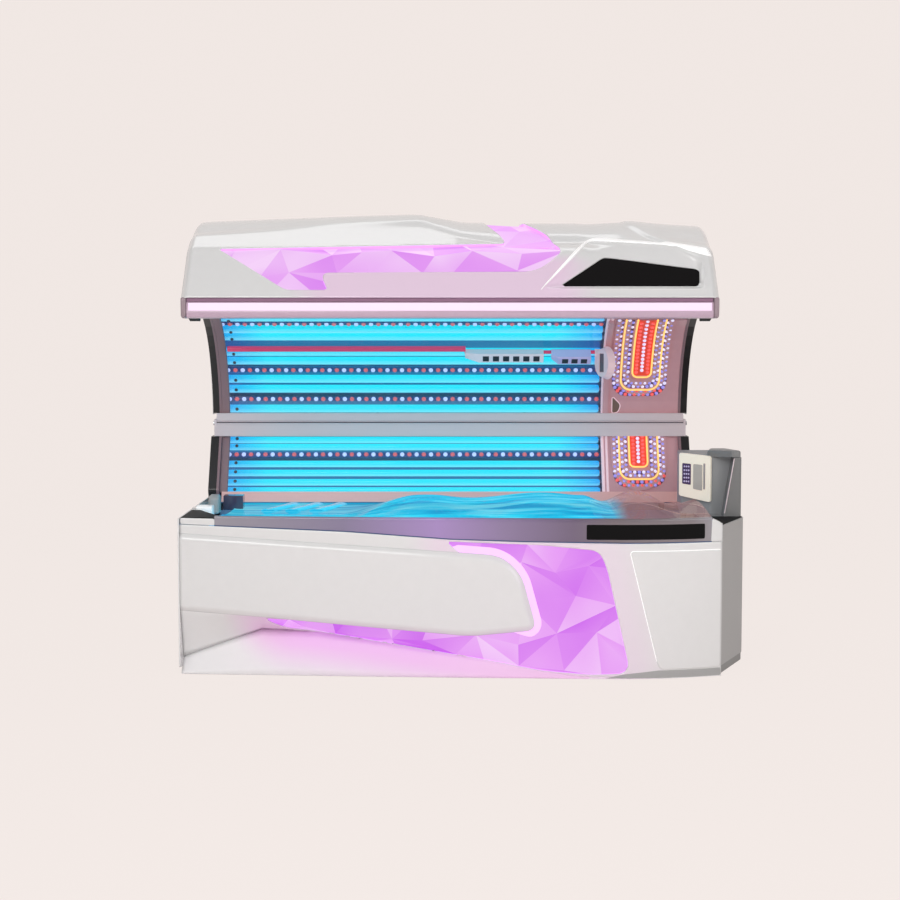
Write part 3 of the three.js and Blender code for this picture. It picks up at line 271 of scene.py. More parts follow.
def buildStudio():
    # the floor carried back and bent up into a wall along a quarter circle
    turn = np.linspace(0, math.pi / 2, 16)
    radius, bend = studio["radius"], studio["bend"]
    back = np.concatenate(([studio["front"]], bend + radius * np.sin(turn), [bend + radius]))
    rise = np.concatenate(([0], radius - radius * np.cos(turn), [studio["top"]]))
    across = np.array([-studio["half"], studio["half"]])
    points = np.stack(np.broadcast_arrays(across[:, None], back[None], rise[None]), -1).reshape(-1, 3)
    count = len(back)
    first = np.arange(count - 1)
    quads = np.stack((first + count, first + count + 1, first + 1, first), -1)
    mesh = bpy.data.meshes.new("studio_floor")
    mesh.from_pydata(points.tolist(), [], quads.tolist())
    mesh.polygons.foreach_set("use_smooth", [True] * len(mesh.polygons))
    floor = bpy.data.objects.new("studio_floor", mesh)
    scene.collection.objects.link(floor)
    material, tree = startMaterial("backdrop paper")
    paths = addNode(tree, "LightPath").outputs
    seen = mathNode(tree, "MAXIMUM", paths["Is Camera Ray"], paths["Is Glossy Ray"])
    seen = mathNode(tree, "MAXIMUM", seen, paths["Is Transmission Ray"])
    paper = addNode(tree, "BsdfDiffuse", {"Color": linear(studio["paper"])}).outputs[0]
    own = addNode(tree, "Emission", {"Color": linear(studio["paper"]), "Strength": 1.0}).outputs[0]
    shown = addNode(tree, "MixShader", {0: studio["own"], 1: paper, 2: own}).outputs[0]
    both = addNode(tree, "MixShader", {0: seen, 1: paper, 2: shown}).outputs[0]
    mesh.materials.append(closeMaterial(material, tree, both))
    world = bpy.data.worlds.new("studio sky")
    scene.world = world
    world.use_nodes = True
    sky = world.node_tree
    sky.nodes.clear()
    light = addNode(sky, "Background", {"Color": linear("#fdfaf9"), "Strength": studio["sky"]}).outputs[0]
    addNode(sky, "OutputWorld", {"Surface": light})


def softBox(name, place, aim, size, watts, mirrored=True):
    # an area light whose back points away from what it is aimed at
    lamp = bpy.data.lights.new(name, "AREA")
    lamp.shape = "RECTANGLE"
    lamp.size, lamp.size_y = size
    lamp.energy = watts
    holder = bpy.data.objects.new(name, lamp)
    holder.visible_camera = False
    holder.visible_glossy = mirrored
    scene.collection.objects.link(holder)
    holder.location = place
    away = np.array(place) - np.array(aim)
    side = unit(np.cross((0, 0, 1), away))
    away = unit(away)
    up = np.cross(away, side)
    holder.matrix_world = Matrix.Translation(place) @ Matrix(np.stack((side, up, away), -1).tolist()).to_4x4()


buildStudio()
softBox("key box", (-2.2, -5.0, 4.0), (0, 0, 0.9), (3.2, 2.2), 96)
softBox("fill box", (3.4, -3.6, 2.6), (0, 0, 0.9), (2.4, 2.4), 40)
softBox("strip box", (0, 1.35, 4.95), (0, -0.2, 1.8), (6, 0.9), 34)
softBox("front wash", (0, -4.6, 1.0), (0, 0.4, 1.05), (3.4, 0.9), 36, False)

# Camera on the bed's middle, seven metres out, tipped down a little
view = {"height": 1.42, "away": 7.0, "lens": 70, "tilt": 4.09}
camera = bpy.data.objects.new("camera", bpy.data.cameras.new("camera"))
scene.collection.objects.link(camera)
camera.data.lens = view["lens"]
camera.data.sensor_width = 36
camera.data.clip_end = 200
camera.location = (bedMiddle / 1000, bedFront / 1000 - view["away"], view["height"])
camera.rotation_euler = (math.radians(90 - view["tilt"]), 0, 0)
scene.camera = camera
print("studio and camera set")

# Shared mesh tools, all in bed millimetres


def toRow(x, y, z):
    # bed millimetres to the shared frame's metres
    return np.stack(np.broadcast_arrays(x + bedMiddle, y + bedFront, z), -1) / 1000


def rowPoints(points):
    # the same for points already put together
    return toRow(points[..., 0], points[..., 1], points[..., 2])


def circle(count):
    # even angles once round
    return np.arange(count) / count * 2 * math.pi


def runAlong(line):
    # the length of a line from its first point to each point
    return np.concatenate(([0], np.cumsum(np.linalg.norm(np.diff(line, axis=0), axis=1))))


def loopArea(loop):
    # the shoelace sum: positive where the line runs against the clock
    return np.sum(loop[:, 0] * np.roll(loop[:, 1], -1) - np.roll(loop[:, 0], -1) * loop[:, 1])


def pathSide(path):
    # unit vectors at right angles to a line of flat points
    along = unit(np.gradient(path, axis=0))
    return np.stack((along[:, 1], -along[:, 0]), -1)


def gridQuads(rows, columns, loopRows=False, loopColumns=False):
    # the four corner numbers of every cell of a grid stored row by row
    i = np.arange(rows if loopRows else rows - 1)[:, None]
    j = np.arange(columns if loopColumns else columns - 1)[None]
    nextI, nextJ = (i + 1) % rows, (j + 1) % columns
    corners = (i * columns + j, i * columns + nextJ, nextI * columns + nextJ, nextI * columns + j)
    return np.stack(np.broadcast_arrays(*corners), -1).reshape(-1, 4)


def repeatQuads(count, rows, columns):
    # the faces of several tubes on the same grid, numbered one tube after another
    tube = gridQuads(rows, columns, loopColumns=True)
    return (tube[None] + (np.arange(count) * rows * columns)[:, None, None]).reshape(-1, 4)


def addPiece(name, points, faces, body, slotName, finish=None, stands=(), sharp=35, marks=None, thick=0,
             weld=False):
    # marks hold one value per point, face corner or face; weld joins the points of poles and seams
    mesh = bpy.data.meshes.new(name)
    mesh.from_pydata(points.reshape(-1, 3).tolist(), [], faces.tolist())
    mesh.materials.append(finish or finishes[slotName])
    for mark, values in (marks or {}).items():
        sizes = {len(mesh.vertices): "POINT", len(mesh.loops): "CORNER", len(mesh.polygons): "FACE"}
        layer = mesh.attributes.new(mark, "FLOAT", sizes[len(values)])
        layer.data.foreach_set("value", values.astype(np.float32))
    if weld:
        build = bmesh.new()
        build.from_mesh(mesh)
        bmesh.ops.remove_doubles(build, verts=build.verts, dist=1e-6)
        build.to_mesh(mesh)
        build.free()
    mesh.polygons.foreach_set("use_smooth", np.ones(len(mesh.polygons), bool))
    mesh.set_sharp_from_angle(angle=math.radians(sharp))
    piece = bpy.data.objects.new(name, mesh)
    scene.collection.objects.link(piece)
    if thick:
        wall = piece.modifiers.new("wall", "SOLIDIFY")
        wall.thickness = thick / 1000
        wall.offset = -1
    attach(piece, body)
    if stands:
        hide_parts(*stands)


def joinGrids(*parts):
    # several point arrays with their faces put into one numbering
    points, faces, start = [], [], 0
    for partPoints, partFaces in parts:
        points.append(partPoints.reshape(-1, 3))
        faces.append(partFaces + start)
        start += len(points[-1])
    return np.concatenate(points), np.concatenate(faces)


def smoothStep(value, low, high):
    # three times the share squared, less twice its cube
    share = np.clip((value - low) / (high - low), 0, 1)
    return share * share * (3 - 2 * share)


def lineAt(points, place):
    # the value between neighbouring (place, value) points
    return np.interp(place, *np.array(points, float).T)


def between(value, rise, fall):
    # up over the first pair of values and down over the second
    return smoothStep(value, *rise) * (1 - smoothStep(value, *fall))


def bilinear(table, u, v):
    # the value between four neighbours of a table, weighted by nearness
    i = np.clip(np.floor(u).astype(int), 0, table.shape[0] - 2)
    j = np.clip(np.floor(v).astype(int), 0, table.shape[1] - 2)
    fu, fv = (u - i)[..., None], (v - j)[..., None]
    near = table[i, j] * (1 - fv) + table[i, j + 1] * fv
    far = table[i + 1, j] * (1 - fv) + table[i + 1, j + 1] * fv
    return near * (1 - fu) + far * fu


def roundOutline(corners, radius, step=6):
    # each corner becomes a quadratic arc from one radius before it to one after, then the sides are cut up
    corners = np.array(corners, float)
    radius = np.broadcast_to(radius, len(corners))
    back, ahead = np.roll(corners, 1, 0) - corners, np.roll(corners, -1, 0) - corners
    reach = np.minimum(radius, 0.48 * np.minimum(np.linalg.norm(back, axis=1), np.linalg.norm(ahead, axis=1)))
    start, end = corners + unit(back) * reach[:, None], corners + unit(ahead) * reach[:, None]
    t = np.linspace(0, 1, 13)[None, :, None]
    arcs = start[:, None] * (1 - t) ** 2 + 2 * corners[:, None] * t * (1 - t) + end[:, None] * t ** 2
    return evenLoop(arcs.reshape(-1, 2), step)


def evenLoop(loop, step):
    # points at even spacing along a closed line
    closed = np.concatenate((loop, loop[:1]))
    run = runAlong(closed)
    marks = np.linspace(0, run[-1], max(8, int(run[-1] / step)), endpoint=False)
    return np.stack((np.interp(marks, run, closed[:, 0]), np.interp(marks, run, closed[:, 1])), -1)


def loopNormals(loop):
    # outward normals of a closed line, whichever way it runs
    along = np.roll(loop, -1, 0) - np.roll(loop, 1, 0)
    out = np.stack((along[:, 1], -along[:, 0]), -1) * np.sign(loopArea(loop))
    return out / np.maximum(np.linalg.norm(out, axis=1), 1e-9)[:, None]


def insideLoop(loop, x, v):
    # even-odd count of the crossings of a level line
    a, b = loop, np.roll(loop, -1, 0)
    px, pv = x.reshape(-1, 1), v.reshape(-1, 1)
    level = (a[:, 1] > pv) != (b[:, 1] > pv)
    rise = np.where(b[:, 1] == a[:, 1], 1e-9, b[:, 1] - a[:, 1])
    cross = px < (b[:, 0] - a[:, 0]) * (pv - a[:, 1]) / rise + a[:, 0]
    return (np.sum(level & cross, 1) % 2 == 1).reshape(x.shape)


def loopNearest(loop, x, v):
    # the closest spot on a closed line's sides
    a, b = loop, np.roll(loop, -1, 0)
    spots = np.stack((x.ravel(), v.ravel()), -1)[:, None]
    side = b - a
    share = np.clip(np.sum((spots - a) * side, -1) / np.maximum(np.sum(side * side, -1), 1e-9), 0, 1)
    feet = a + share[..., None] * side
    best = np.sum((feet - spots) ** 2, -1).argmin(1)
    return feet[np.arange(len(feet)), best].reshape(*x.shape, 2)


def loopDistance(loop, x, v):
    # from each spot to the closest spot of the line
    return np.linalg.norm(loopNearest(loop, x, v) - np.stack((x, v), -1), axis=-1)


def edgeStrip(place, loop, profile):
    # a cross-section of (outward, depth) pairs carried round a closed line on a surface
    out = loopNormals(loop)
    profile = np.array(profile, float)
    spots = loop[:, None] + out[:, None] * profile[None, :, :1]
    points = place(spots[..., 0], spots[..., 1], np.broadcast_to(profile[None, :, 1], spots.shape[:2]))
    quads = gridQuads(len(loop), len(profile), loopRows=True)
    return points, (quads[:, ::-1] if loopArea(loop) > 0 else quads)


def sheetFaces(place, gridX, gridV, holes):
    # a grid laid on a surface without the cells inside a hole; cells across its edge are drawn back to it
    gridX, gridV = np.array(gridX, float), np.array(gridV, float)
    quads = gridQuads(*gridX.shape)
    for hole in holes:
        inside = insideLoop(hole, gridX, gridV).ravel()
        quads = quads[~inside[quads].all(1)]
        edge = np.intersect1d(np.flatnonzero(inside), quads)
        spots = loopNearest(hole, gridX.flat[edge], gridV.flat[edge])
        gridX.flat[edge], gridV.flat[edge] = spots[:, 0], spots[:, 1]
    return place(gridX, gridV, np.zeros(gridX.shape)), quads[:, ::-1]


def ringPatch(place, loop, edge, rings=9):
    # an outline filled by rings: (inset, depth) pairs at its edge, then rings drawn in to its middle
    edge = np.array(edge, float)
    rim = loop[None] - loopNormals(loop)[None] * edge[:, :1, None]
    middle = rim[-1].mean(0)
    share = np.linspace(1, 0, rings)[1:, None, None]
    spots = np.concatenate((rim, middle + (rim[-1:] - middle) * share))
    depth = np.concatenate((edge[:, 1], np.full(rings - 1, edge[-1, 1])))
    points = place(spots[..., 0], spots[..., 1], np.broadcast_to(depth[:, None], spots.shape[:2]))
    faces = gridQuads(len(depth), len(loop), loopColumns=True)
    return points, (faces if loopArea(loop) > 0 else faces[:, ::-1])


def sweepBar(section, stations):
    # a closed (y, z) outline carried along X; each station is (x, inset), and both ends close to a pole
    out = loopNormals(section)
    x, inset = np.array(stations, float).T
    rings = section[None] - out[None] * inset[:, None, None]
    middle = np.broadcast_to(section.mean(0), (1, len(section), 2))
    rings = np.concatenate((middle, rings, middle))
    x = np.concatenate((x[:1], x, x[-1:]))
    quads = gridQuads(len(x), len(section), loopColumns=True)
    points = toRow(x[:, None], rings[..., 0], rings[..., 1])
    return points, (quads if loopArea(section) > 0 else quads[:, ::-1])


def roundEnds(low, high, radius):
    # stations of a bar whose two ends are rounded off along a quarter circle
    turn = np.linspace(0, math.pi / 2, 5)
    near = np.stack((low + radius * (1 - np.sin(turn)), radius * (1 - np.cos(turn))), -1)[::-1]
    far = np.stack((high - radius * (1 - np.sin(turn)), radius * (1 - np.cos(turn))), -1)
    return np.concatenate((near, far))


def patchPiece(name, place, loop, edge, body, slotName, finish=None, stands=(), rings=9):
    # a piece made of one filled outline
    addPiece(name, *ringPatch(place, loop, edge, rings), body, slotName, finish, stands, weld=True)


def barPiece(name, section, ends, radius, body, slotName, finish=None, stands=()):
    # a piece made of one bar with rounded ends
    addPiece(name, *sweepBar(section, roundEnds(*ends, radius)), body, slotName, finish, stands, weld=True)


# Canopy shell: a profile of control points in (y, z) that change along the bed, with eased corners
shell = {
    "crownLift": [(-1097, -14), (-800, -6), (-400, 4), (-60, 10), (180, 17), (540, 17), (760, 0)],
    "half": 1097, "stepX": 8, "stepS": 6, "creaseWidth": 3, "crownWidth": 17, "wall": 5, "proud": 4.5,
    "rim": (140, 1530), "lowCrease": (330, 1735),
    "topCrease": [(-1097, 435, 1797), (-1065, 435, 1803), (-509, 490, 1839), (-115, 502, 1847),
                  (42, 440, 1796), (231, 408, 1757), (300, 430, 1764), (590, 430, 1764), (690, 430, 1778),
                  (760, 430, 1786), (1065, 430, 1770), (1097, 430, 1766)],
    "lift": [(-1097, -6), (-1065, 0), (-140, 10), (60, -30), (240, -36), (590, -36), (690, -22), (760, -14),
             (1065, -30), (1097, -34)],
    "crown": [(562, 1868), (620, 1888), (710, 1868), (800, 1800)],
    "rear": [(991, 1605), (1120, 1452), (1200, 1350), (1270, 1230), (1290, 1160), (1260, 1000)],
    "endRound": 22, "endReach": 32, "softCount": 15, "middleWidth": 8, "upEase": (2, 16),
    "rightEase": (230, 330), "humpRise": 7, "humpUp": (-20, 6), "humpDown": (10, 190), "humpFrom": (262, 300),
    "crownFrom": (395, 470),
    "hump": [(250, 962), (300, 944), (370, 900), (430, 840), (520, 770), (700, 740)],
}


def shellTables():
    # rows along the bed hold the profile's points at even steps, averaged over a short or a long stretch
    x = np.arange(-shell["half"], shell["half"] + 1, shell["stepX"] / 2.0)
    crease = np.array(shell["topCrease"], float)
    count = shell["softCount"]
    soft = np.ones(count) / count
    lift, creaseY, creaseZ = (np.convolve(np.pad(lineAt(points, x), count // 2, "edge"), soft, "valid")
                              for points in (shell["lift"], crease[:, [0, 1]], crease[:, [0, 2]]))
    still = np.ones_like(x)
    control = [(shell["rim"][0] * still, shell["rim"][1] * still),
               (shell["lowCrease"][0] * still, shell["lowCrease"][1] * still), (creaseY, creaseZ)]
    control += [(y * still, z + lift) for y, z in shell["crown"]]
    control += [(y * still, z * still) for y, z in shell["rear"]]
    control = np.array(control)
    spans = np.linalg.norm(np.diff(control[:, :, len(x) // 2], axis=0), axis=1)
    counts = np.maximum(2, np.round(spans / shell["stepS"])).astype(int)
    share = np.concatenate([np.arange(n) / n + k for k, n in enumerate(counts)] + [[len(counts)]])
    k = np.minimum(share.astype(int), len(counts) - 1)
    f = (share - k)[:, None, None]
    line = control[k].transpose(0, 2, 1) * (1 - f) + control[k + 1].transpose(0, 2, 1) * f

    def eased(width):
        # ends are carried on straight before the running mean
        ahead = 2 * line[0] - line[1:width + 1][::-1]
        after = 2 * line[-1] - line[-width - 1:-1][::-1]
        total = np.cumsum(np.concatenate((0 * line[:1], ahead, line, after)), 0)
        return (total[2 * width + 1:] - total[:-2 * width - 1]) / (2 * width + 1)

    crisp, middle, smooth = (eased(shell[key]) for key in ("creaseWidth", "middleWidth", "crownWidth"))
    upward = smoothStep(np.arange(len(share)) - counts[:2].sum(), *shell["upEase"])[:, None, None]
    right = smoothStep(x, *shell["rightEase"])[None, :, None]
    table = (crisp * (1 - right) + middle * right) * (1 - upward) + smooth * upward
    places = np.broadcast_to(x[None, :, None], (*table.shape[:2], 1))
    table = np.concatenate((places, table), -1).transpose(1, 0, 2)
    across, along = np.gradient(table, axis=0), np.gradient(table, axis=1)
    normal = unit(np.cross(across, along))
    fromEnd = shell["half"] - np.abs(x)
    inset = shell["endRound"] * np.maximum(0, 1 - fromEnd / shell["endReach"]) ** 2
    return x, table - normal * inset[:, None, None], normal, counts


shellX, shellTable, shellNormal, shellCounts = shellTables()
shellLength = (shellTable.shape[1] - 1) * shell["stepS"]


def shellAt(x, s):
    # the table's row and column of a place along the bed and along the profile
    return (x + shell["half"]) / (shellX[1] - shellX[0]), s / shell["stepS"]


def plainShell(x, s, depth):
    # a point of the table sunk along its normal
    u, v = shellAt(x, s)
    return bilinear(shellTable, u, v) - bilinear(shellNormal, u, v) * (depth[..., None] - shell["proud"])


def shellRun(x, height):
    # how far along the profile a height lies; past the crown the height counts on along the surface
    row = np.clip(np.round((x + shell["half"]) / (shellX[1] - shellX[0])).astype(int), 0, len(shellX) - 1)
    z = shellTable[row, :, 2]
    steps = np.arange(z.shape[1]) * shell["stepS"]
    top = z.argmax(1)
    past = z.max(1)[:, None] + steps[None] - (top * shell["stepS"])[:, None]
    levels = np.where(np.arange(z.shape[1])[None] <= top[:, None], z, past)
    j = np.clip((levels < height[:, None]).sum(1), 1, z.shape[1] - 1)
    each = np.arange(len(x))
    low, high = levels[each, j - 1], levels[each, j]
    return (j - 1 + (height - low) / np.maximum(high - low, 1e-6)) * shell["stepS"]


def shellOutline(points, radius):
    # an outline drawn in (x, height), rounded, and then laid along the profile
    loop = roundOutline(points, radius)
    return evenLoop(np.stack((loop[:, 0], shellRun(loop[:, 0], loop[:, 1])), -1), 6)


canopyGlow = {
    "outline": [(-967, 1734), (-672, 1559), (-498, 1559), (-533, 1631), (360, 1636), (473, 1725), (390, 1800),
                (301, 1842), (300, 1990), (100, 1990), (120, 1858), (231, 1757)],
    "radius": [14, 26, 12, 40, 60, 34, 60, 60, 10, 10, 40, 8], "sink": 9,
    "paintedGlowFrom": (-700, -480), "paintedGlowTo": (430, 640), "paintedGlowUp": (190, 265),
}
namePanel = {
    "outline": [(445, 1586), (1013, 1586), (1023, 1596), (1027, 1650), (1015, 1663), (663, 1711),
                (636, 1711)],
    "frame": [(377, 1563), (577, 1762), (918, 1744), (1044, 1684), (1041, 1563)],
    "sink": 18, "panelSink": 5, "beadRise": 5, "beadWidth": 16, "fromX": 300, "toS": 420, "flat": 0.9,
}
glowLoop = shellOutline(canopyGlow["outline"], canopyGlow["radius"])
nameLoop = shellOutline(namePanel["outline"], [14, 8, 8, 8, 8, 10, 10])
frameLoop = shellOutline(namePanel["frame"], [30, 24, 40, 40, 20])


def canopyPlace(x, s, depth):
    # the plain shell with a tray pressed in, deeper from the tray's edge to the black panel's
    near = (x > namePanel["fromX"]) & (s < namePanel["toS"])
    sunk = np.zeros(x.shape)
    if near.any():
        nearX, nearS = x[near], s[near]
        inFrame = insideLoop(frameLoop, nearX, nearS)
        fromFrame, fromName = loopDistance(frameLoop, nearX, nearS), loopDistance(nameLoop, nearX, nearS)
        fromName = np.where(insideLoop(nameLoop, nearX, nearS), 0, fromName)
        share = np.minimum(fromFrame / (fromFrame + fromName + 1e-6) / namePanel["flat"], 1)
        bead = namePanel["beadRise"] * np.maximum(0, 1 - fromFrame / namePanel["beadWidth"])
        sunk[near] = np.where(inFrame, share, 0) * namePanel["sink"] - bead
    # a hump at the right end stands up along a slanted line and dies away behind it
    past = x - lineAt(shell["hump"], s)
    hump = between(past, shell["humpUp"], shell["humpDown"]) * smoothStep(s, *shell["humpFrom"])
    sunk = sunk - shell["humpRise"] * hump
    # the crown falls off to the left end and rises a little between the wing and the hump
    sunk = sunk - smoothStep(s, *shell["crownFrom"]) * lineAt(shell["crownLift"], x)
    return rowPoints(plainShell(x, s, depth + sunk))


arch = {"y": 489, "z": 961, "lamps": 562, "pane": 534}
endArch = {"radius": 600, "from": 124.5, "to": 4.5, "rows": 6}


def archSpot(angle, radius):
    # a point of a circle about the arch's middle, by its angle in degrees
    turn = np.radians(angle)
    return arch["y"] + radius * np.cos(turn), arch["z"] + radius * np.sin(turn)


def endWall(side):
    # straight lines from the shell's last row down to the arch
    row = shellTable[0 if side < 0 else -1]
    run = runAlong(row)
    angle = endArch["from"] + (endArch["to"] - endArch["from"]) * run / run[-1]
    foot = toRow(row[:, 0], *archSpot(angle, endArch["radius"]))
    edge = canopyPlace(side * shell["half"] + 0 * run, np.arange(len(row)) * shell["stepS"], 0 * run)
    share = np.linspace(0, 1, endArch["rows"])[:, None, None]
    points = edge[None] * (1 - share) + foot[None] * share
    quads = gridQuads(endArch["rows"], len(row))
    return points, (quads if side < 0 else quads[:, ::-1])


def buildCanopyShell():
    # a grid finer at its ends, with holes for the glow and the black panel and a rolled lip at each hole
    x = np.arange(-shell["half"], shell["half"] + 1, shell["stepX"])
    fine = np.arange(0, shell["endReach"] + 1, shell["stepX"] / 2)
    x = np.unique(np.concatenate((x, shell["half"] - fine, fine - shell["half"])))
    frontEnd = shellCounts[:6].sum() * shell["stepS"]
    s = np.concatenate((np.arange(0, frontEnd, 7.0), np.linspace(frontEnd, shellLength, 40)))
    lip = [(3, 0.9), (0.5, 0.1), (-0.5, 0.5), (-1.1, 1.6), (-1.3, 3)]
    wall = [(-1.3, 3), (-1.5, 7), (-1.7, canopyGlow["sink"] + 5)]
    panelLip = lip + [(-1.4, 9)]
    gridX, gridS = np.meshgrid(x, s, indexing="ij")
    skin = sheetFaces(canopyPlace, gridX, gridS, (glowLoop, nameLoop))
    parts = joinGrids(skin, endWall(-1), endWall(1))
    # painted pink light from the glow panel on the shell beside it, fading out upwards, carried as the
    # paintedGlow mark
    pink = between(gridX, canopyGlow["paintedGlowFrom"], canopyGlow["paintedGlowTo"])
    pink = pink * (1 - smoothStep(gridS, *canopyGlow["paintedGlowUp"]))
    pink = np.pad(pink.ravel(), (0, len(parts[0]) - pink.size))
    addPiece("canopy_shell_skin", *parts, "canopy", "white_shell", stands=("canopy_shell",),
             thick=shell["wall"], marks={"paintedGlow": pink})
    addPiece("canopy_glow_lip", *edgeStrip(canopyPlace, glowLoop, lip), "canopy", "white_shell")
    addPiece("canopy_glow_wall", *edgeStrip(canopyPlace, glowLoop, wall), "canopy", "glow_acrylic", wallGlow)
    addPiece("canopy_name_lip", *edgeStrip(canopyPlace, nameLoop, panelLip), "canopy", "white_shell")


ridge = {
    "line": [(372, 1560), (470, 1654), (560, 1745), (588, 1765), (640, 1768), (800, 1757), (918, 1744),
             (1000, 1724), (1086, 1700)],
    "width": [(372, 0.05), (470, 0.3), (590, 0.45), (700, 0.7), (1040, 1.0), (1086, 0.7)],
    "section": [(-5, -3), (-1, 4), (3, 7), (12, 6.4), (24, 4.4), (38, 2), (52, -0.6)],
}
# a white that glows a little: a painted highlight on the tray ridge and painted light on the left end's block
paintedHighlightWhite = solidFinish("white ABS with a painted highlight", "#ffffff", 0.3, coat=0.3, grain=20, glow=("#ffffff", 0.16))


def buildRidge():
    # a bevelled ridge along the upper edge of the tray, wider towards the right end, in a white that glows a
    # little: a painted highlight
    corner = np.array(ridge["line"], float)
    run = runAlong(corner)
    marks = np.linspace(0, run[-1], 160)
    line = np.stack([np.interp(marks, run, corner[:, k]) for k in (0, 1)], -1)
    kernel = np.ones(11) / 11
    line[5:-5] = np.stack([np.convolve(line[:, k], kernel, "valid") for k in (0, 1)], -1)
    line[:, 1] = shellRun(line[:, 0], line[:, 1])
    up = -pathSide(line)
    width, height = np.array(ridge["section"], float).T
    share = lineAt(ridge["width"], line[:, 0])
    spots = line[:, None] + up[:, None] * (width[None, :, None] * share[:, None, None])
    depth = -np.where(height > 0, height * share[:, None], height)
    points = canopyPlace(spots[..., 0], spots[..., 1], depth)
    faces = gridQuads(len(line), len(width))[:, ::-1]
    addPiece("canopy_tray_ridge", points, faces, "canopy", "white_shell", paintedHighlightWhite)


def facetFinish():
    # cast lilac acrylic lit from behind: every facet has a level of its own between deep violet and pale pink
    material, tree = startMaterial("cast lilac acrylic lit from behind")
    level = addNode(tree, "Attribute", attribute_name="shade").outputs["Fac"]
    place = addNode(tree, "TexCoord").outputs["Object"]
    cloud = grainNoise(tree, place, 260, 1.0)
    drift = addNode(tree, "MapRange", {"Value": cloud, "To Min": -0.28, "To Max": 0.28}).outputs[0]
    level = mathNode(tree, "ADD", level, drift)
    ramp = colorRamp(tree, level, [(0, "#cc63ee"), (0.5, "#e9a2f6"), (1, "#fbdcfd")])
    shader = addNode(tree, "BsdfPrincipled", {"Base Color": linear("#50205c"), "Roughness": 0.16,
                                              "Emission Color": ramp.outputs["Color"],
                                              "Emission Strength": 0.86})
    return closeMaterial(material, tree, shader.outputs[0])


facetGlow = facetFinish()
edgeGlow = solidFinish("lit pale acrylic edge", "#cf9fd8", 0.2, grain=60, glow=("#f2c6f8", 0.6))
wallGlow = solidFinish("lit lilac acrylic edge", "#c583d8", 0.2, grain=60, glow=("#e6a4f2", 0.66))


def facetPanel(name, place, loop, body, stands, pitch, depth, relief, seed, keep, levels):
    # a lattice of jittered points on the surface, every cell split into two flat facets
    draw = np.random.default_rng(seed)
    low, high = loop.min(0) - pitch, loop.max(0) + pitch
    countX, countV = (np.ceil((high - low) / pitch)).astype(int) + 1
    gridX, gridV = np.meshgrid(low[0] + np.arange(countX) * pitch[0], low[1] + np.arange(countV) * pitch[1],
                               indexing="ij")
    gridX = gridX + ((np.arange(countV) % 2) / 2 + draw.uniform(-0.32, 0.32, gridX.shape)) * pitch[0]
    gridV = gridV + draw.uniform(-0.3, 0.3, gridV.shape) * pitch[1]
    gridX, gridV = keep(gridX, gridV)
    points = place(gridX, gridV, depth + draw.uniform(-relief, relief, gridX.shape))
    quads = gridQuads(countX, countV)
    flip = draw.random(len(quads)) < 0.5
    one = np.where(flip[:, None], quads[:, [0, 1, 2]], quads[:, [0, 1, 3]])
    two = np.where(flip[:, None], quads[:, [0, 2, 3]], quads[:, [1, 2, 3]])
    facets = np.concatenate((one, two))[:, ::-1]
    flatX, flatV = gridX.ravel()[facets], gridV.ravel()[facets]
    near = insideLoop(loop, flatX, flatV).any(1) | insideLoop(loop, flatX.mean(1), flatV.mean(1))
    near |= loopDistance(loop, flatX.mean(1), flatV.mean(1)) < min(pitch) * 0.5
    facets = facets[near]
    separate = points.reshape(-1, 3)[facets].reshape(-1, 3)
    faces = np.arange(len(separate)).reshape(-1, 3)
    sides = separate[1::3] - separate[::3], separate[2::3] - separate[::3]
    solid = np.linalg.norm(np.cross(*sides), axis=1) > 1e-6
    shades = draw.uniform(*levels, (len(faces), 1)) + draw.uniform(-0.14, 0.14, (len(faces), 3))
    addPiece(name, separate, faces[solid], body, "glow_acrylic", facetGlow, stands, 1,
             {"shade": shades[solid].ravel()})


rimGrey = solidFinish("moulded mauve-grey ABS", "#c3a8bb", 0.34, coat=0.3, grain=20)
capGrey = solidFinish("moulded brown-grey ABS", "#9c8991", 0.34, coat=0.3, grain=20)
grooveMauve = solidFinish("mauve rubber seal", "#8f6a84", 0.5, grain=6)
rim = {
    "bar": [(150, 1529.5), (150, 1513), (143, 1510.5), (143, 1476.5), (141.5, 1473), (142, 1458), (147, 1450),
            (158, 1446.5), (180, 1446), (300, 1446), (300, 1529.5)],
    "seal": [(146, 1528.5), (146, 1514), (152, 1514), (152, 1528.5)],
    "cap": [(139, 1532), (137, 1500), (140, 1466), (147, 1452), (162, 1446), (300, 1446), (300, 1532)],
}


def buildRim():
    # a bar stepped for the light strip, a seal above it and a cap at either end
    bar, cap = np.array(rim["bar"], float), roundOutline(rim["cap"], 8, 5)
    barPiece("canopy_rim_bar", bar, (-1073, 1073), 1, "canopy", "white_shell", rimGrey, ("canopy_rim",))
    barPiece("canopy_rim_seal", roundOutline(rim["seal"], 2, 2), (-1072, 1072), 1, "canopy", "rubber",
             grooveMauve)
    for word, ends in (("left", (-1096.5, -1074.5)), ("right", (1074.5, 1096.5))):
        barPiece("canopy_rim_cap_" + word, cap, ends, 7, "canopy", "grey_shell", capGrey)


buildRim()
buildCanopyShell()
buildRidge()
facetPanel("canopy_glow_facets", canopyPlace, glowLoop, "canopy", ("canopy_glow_panel",),
           np.array([170, 112]), 10, 4, 11,
           lambda x, v: (np.clip(x, -985, np.interp(v, [0, 150, 270], [384, 388, 490])),
                         np.clip(v, 14, glowLoop[:, 1].max() + 8)), (0.4, 0.95))
patchPiece("canopy_black_panel", canopyPlace, nameLoop, [(-7, namePanel["panelSink"])], "canopy",
           "black_gloss", None, ("canopy_name_panel",))
print("canopy shell built")

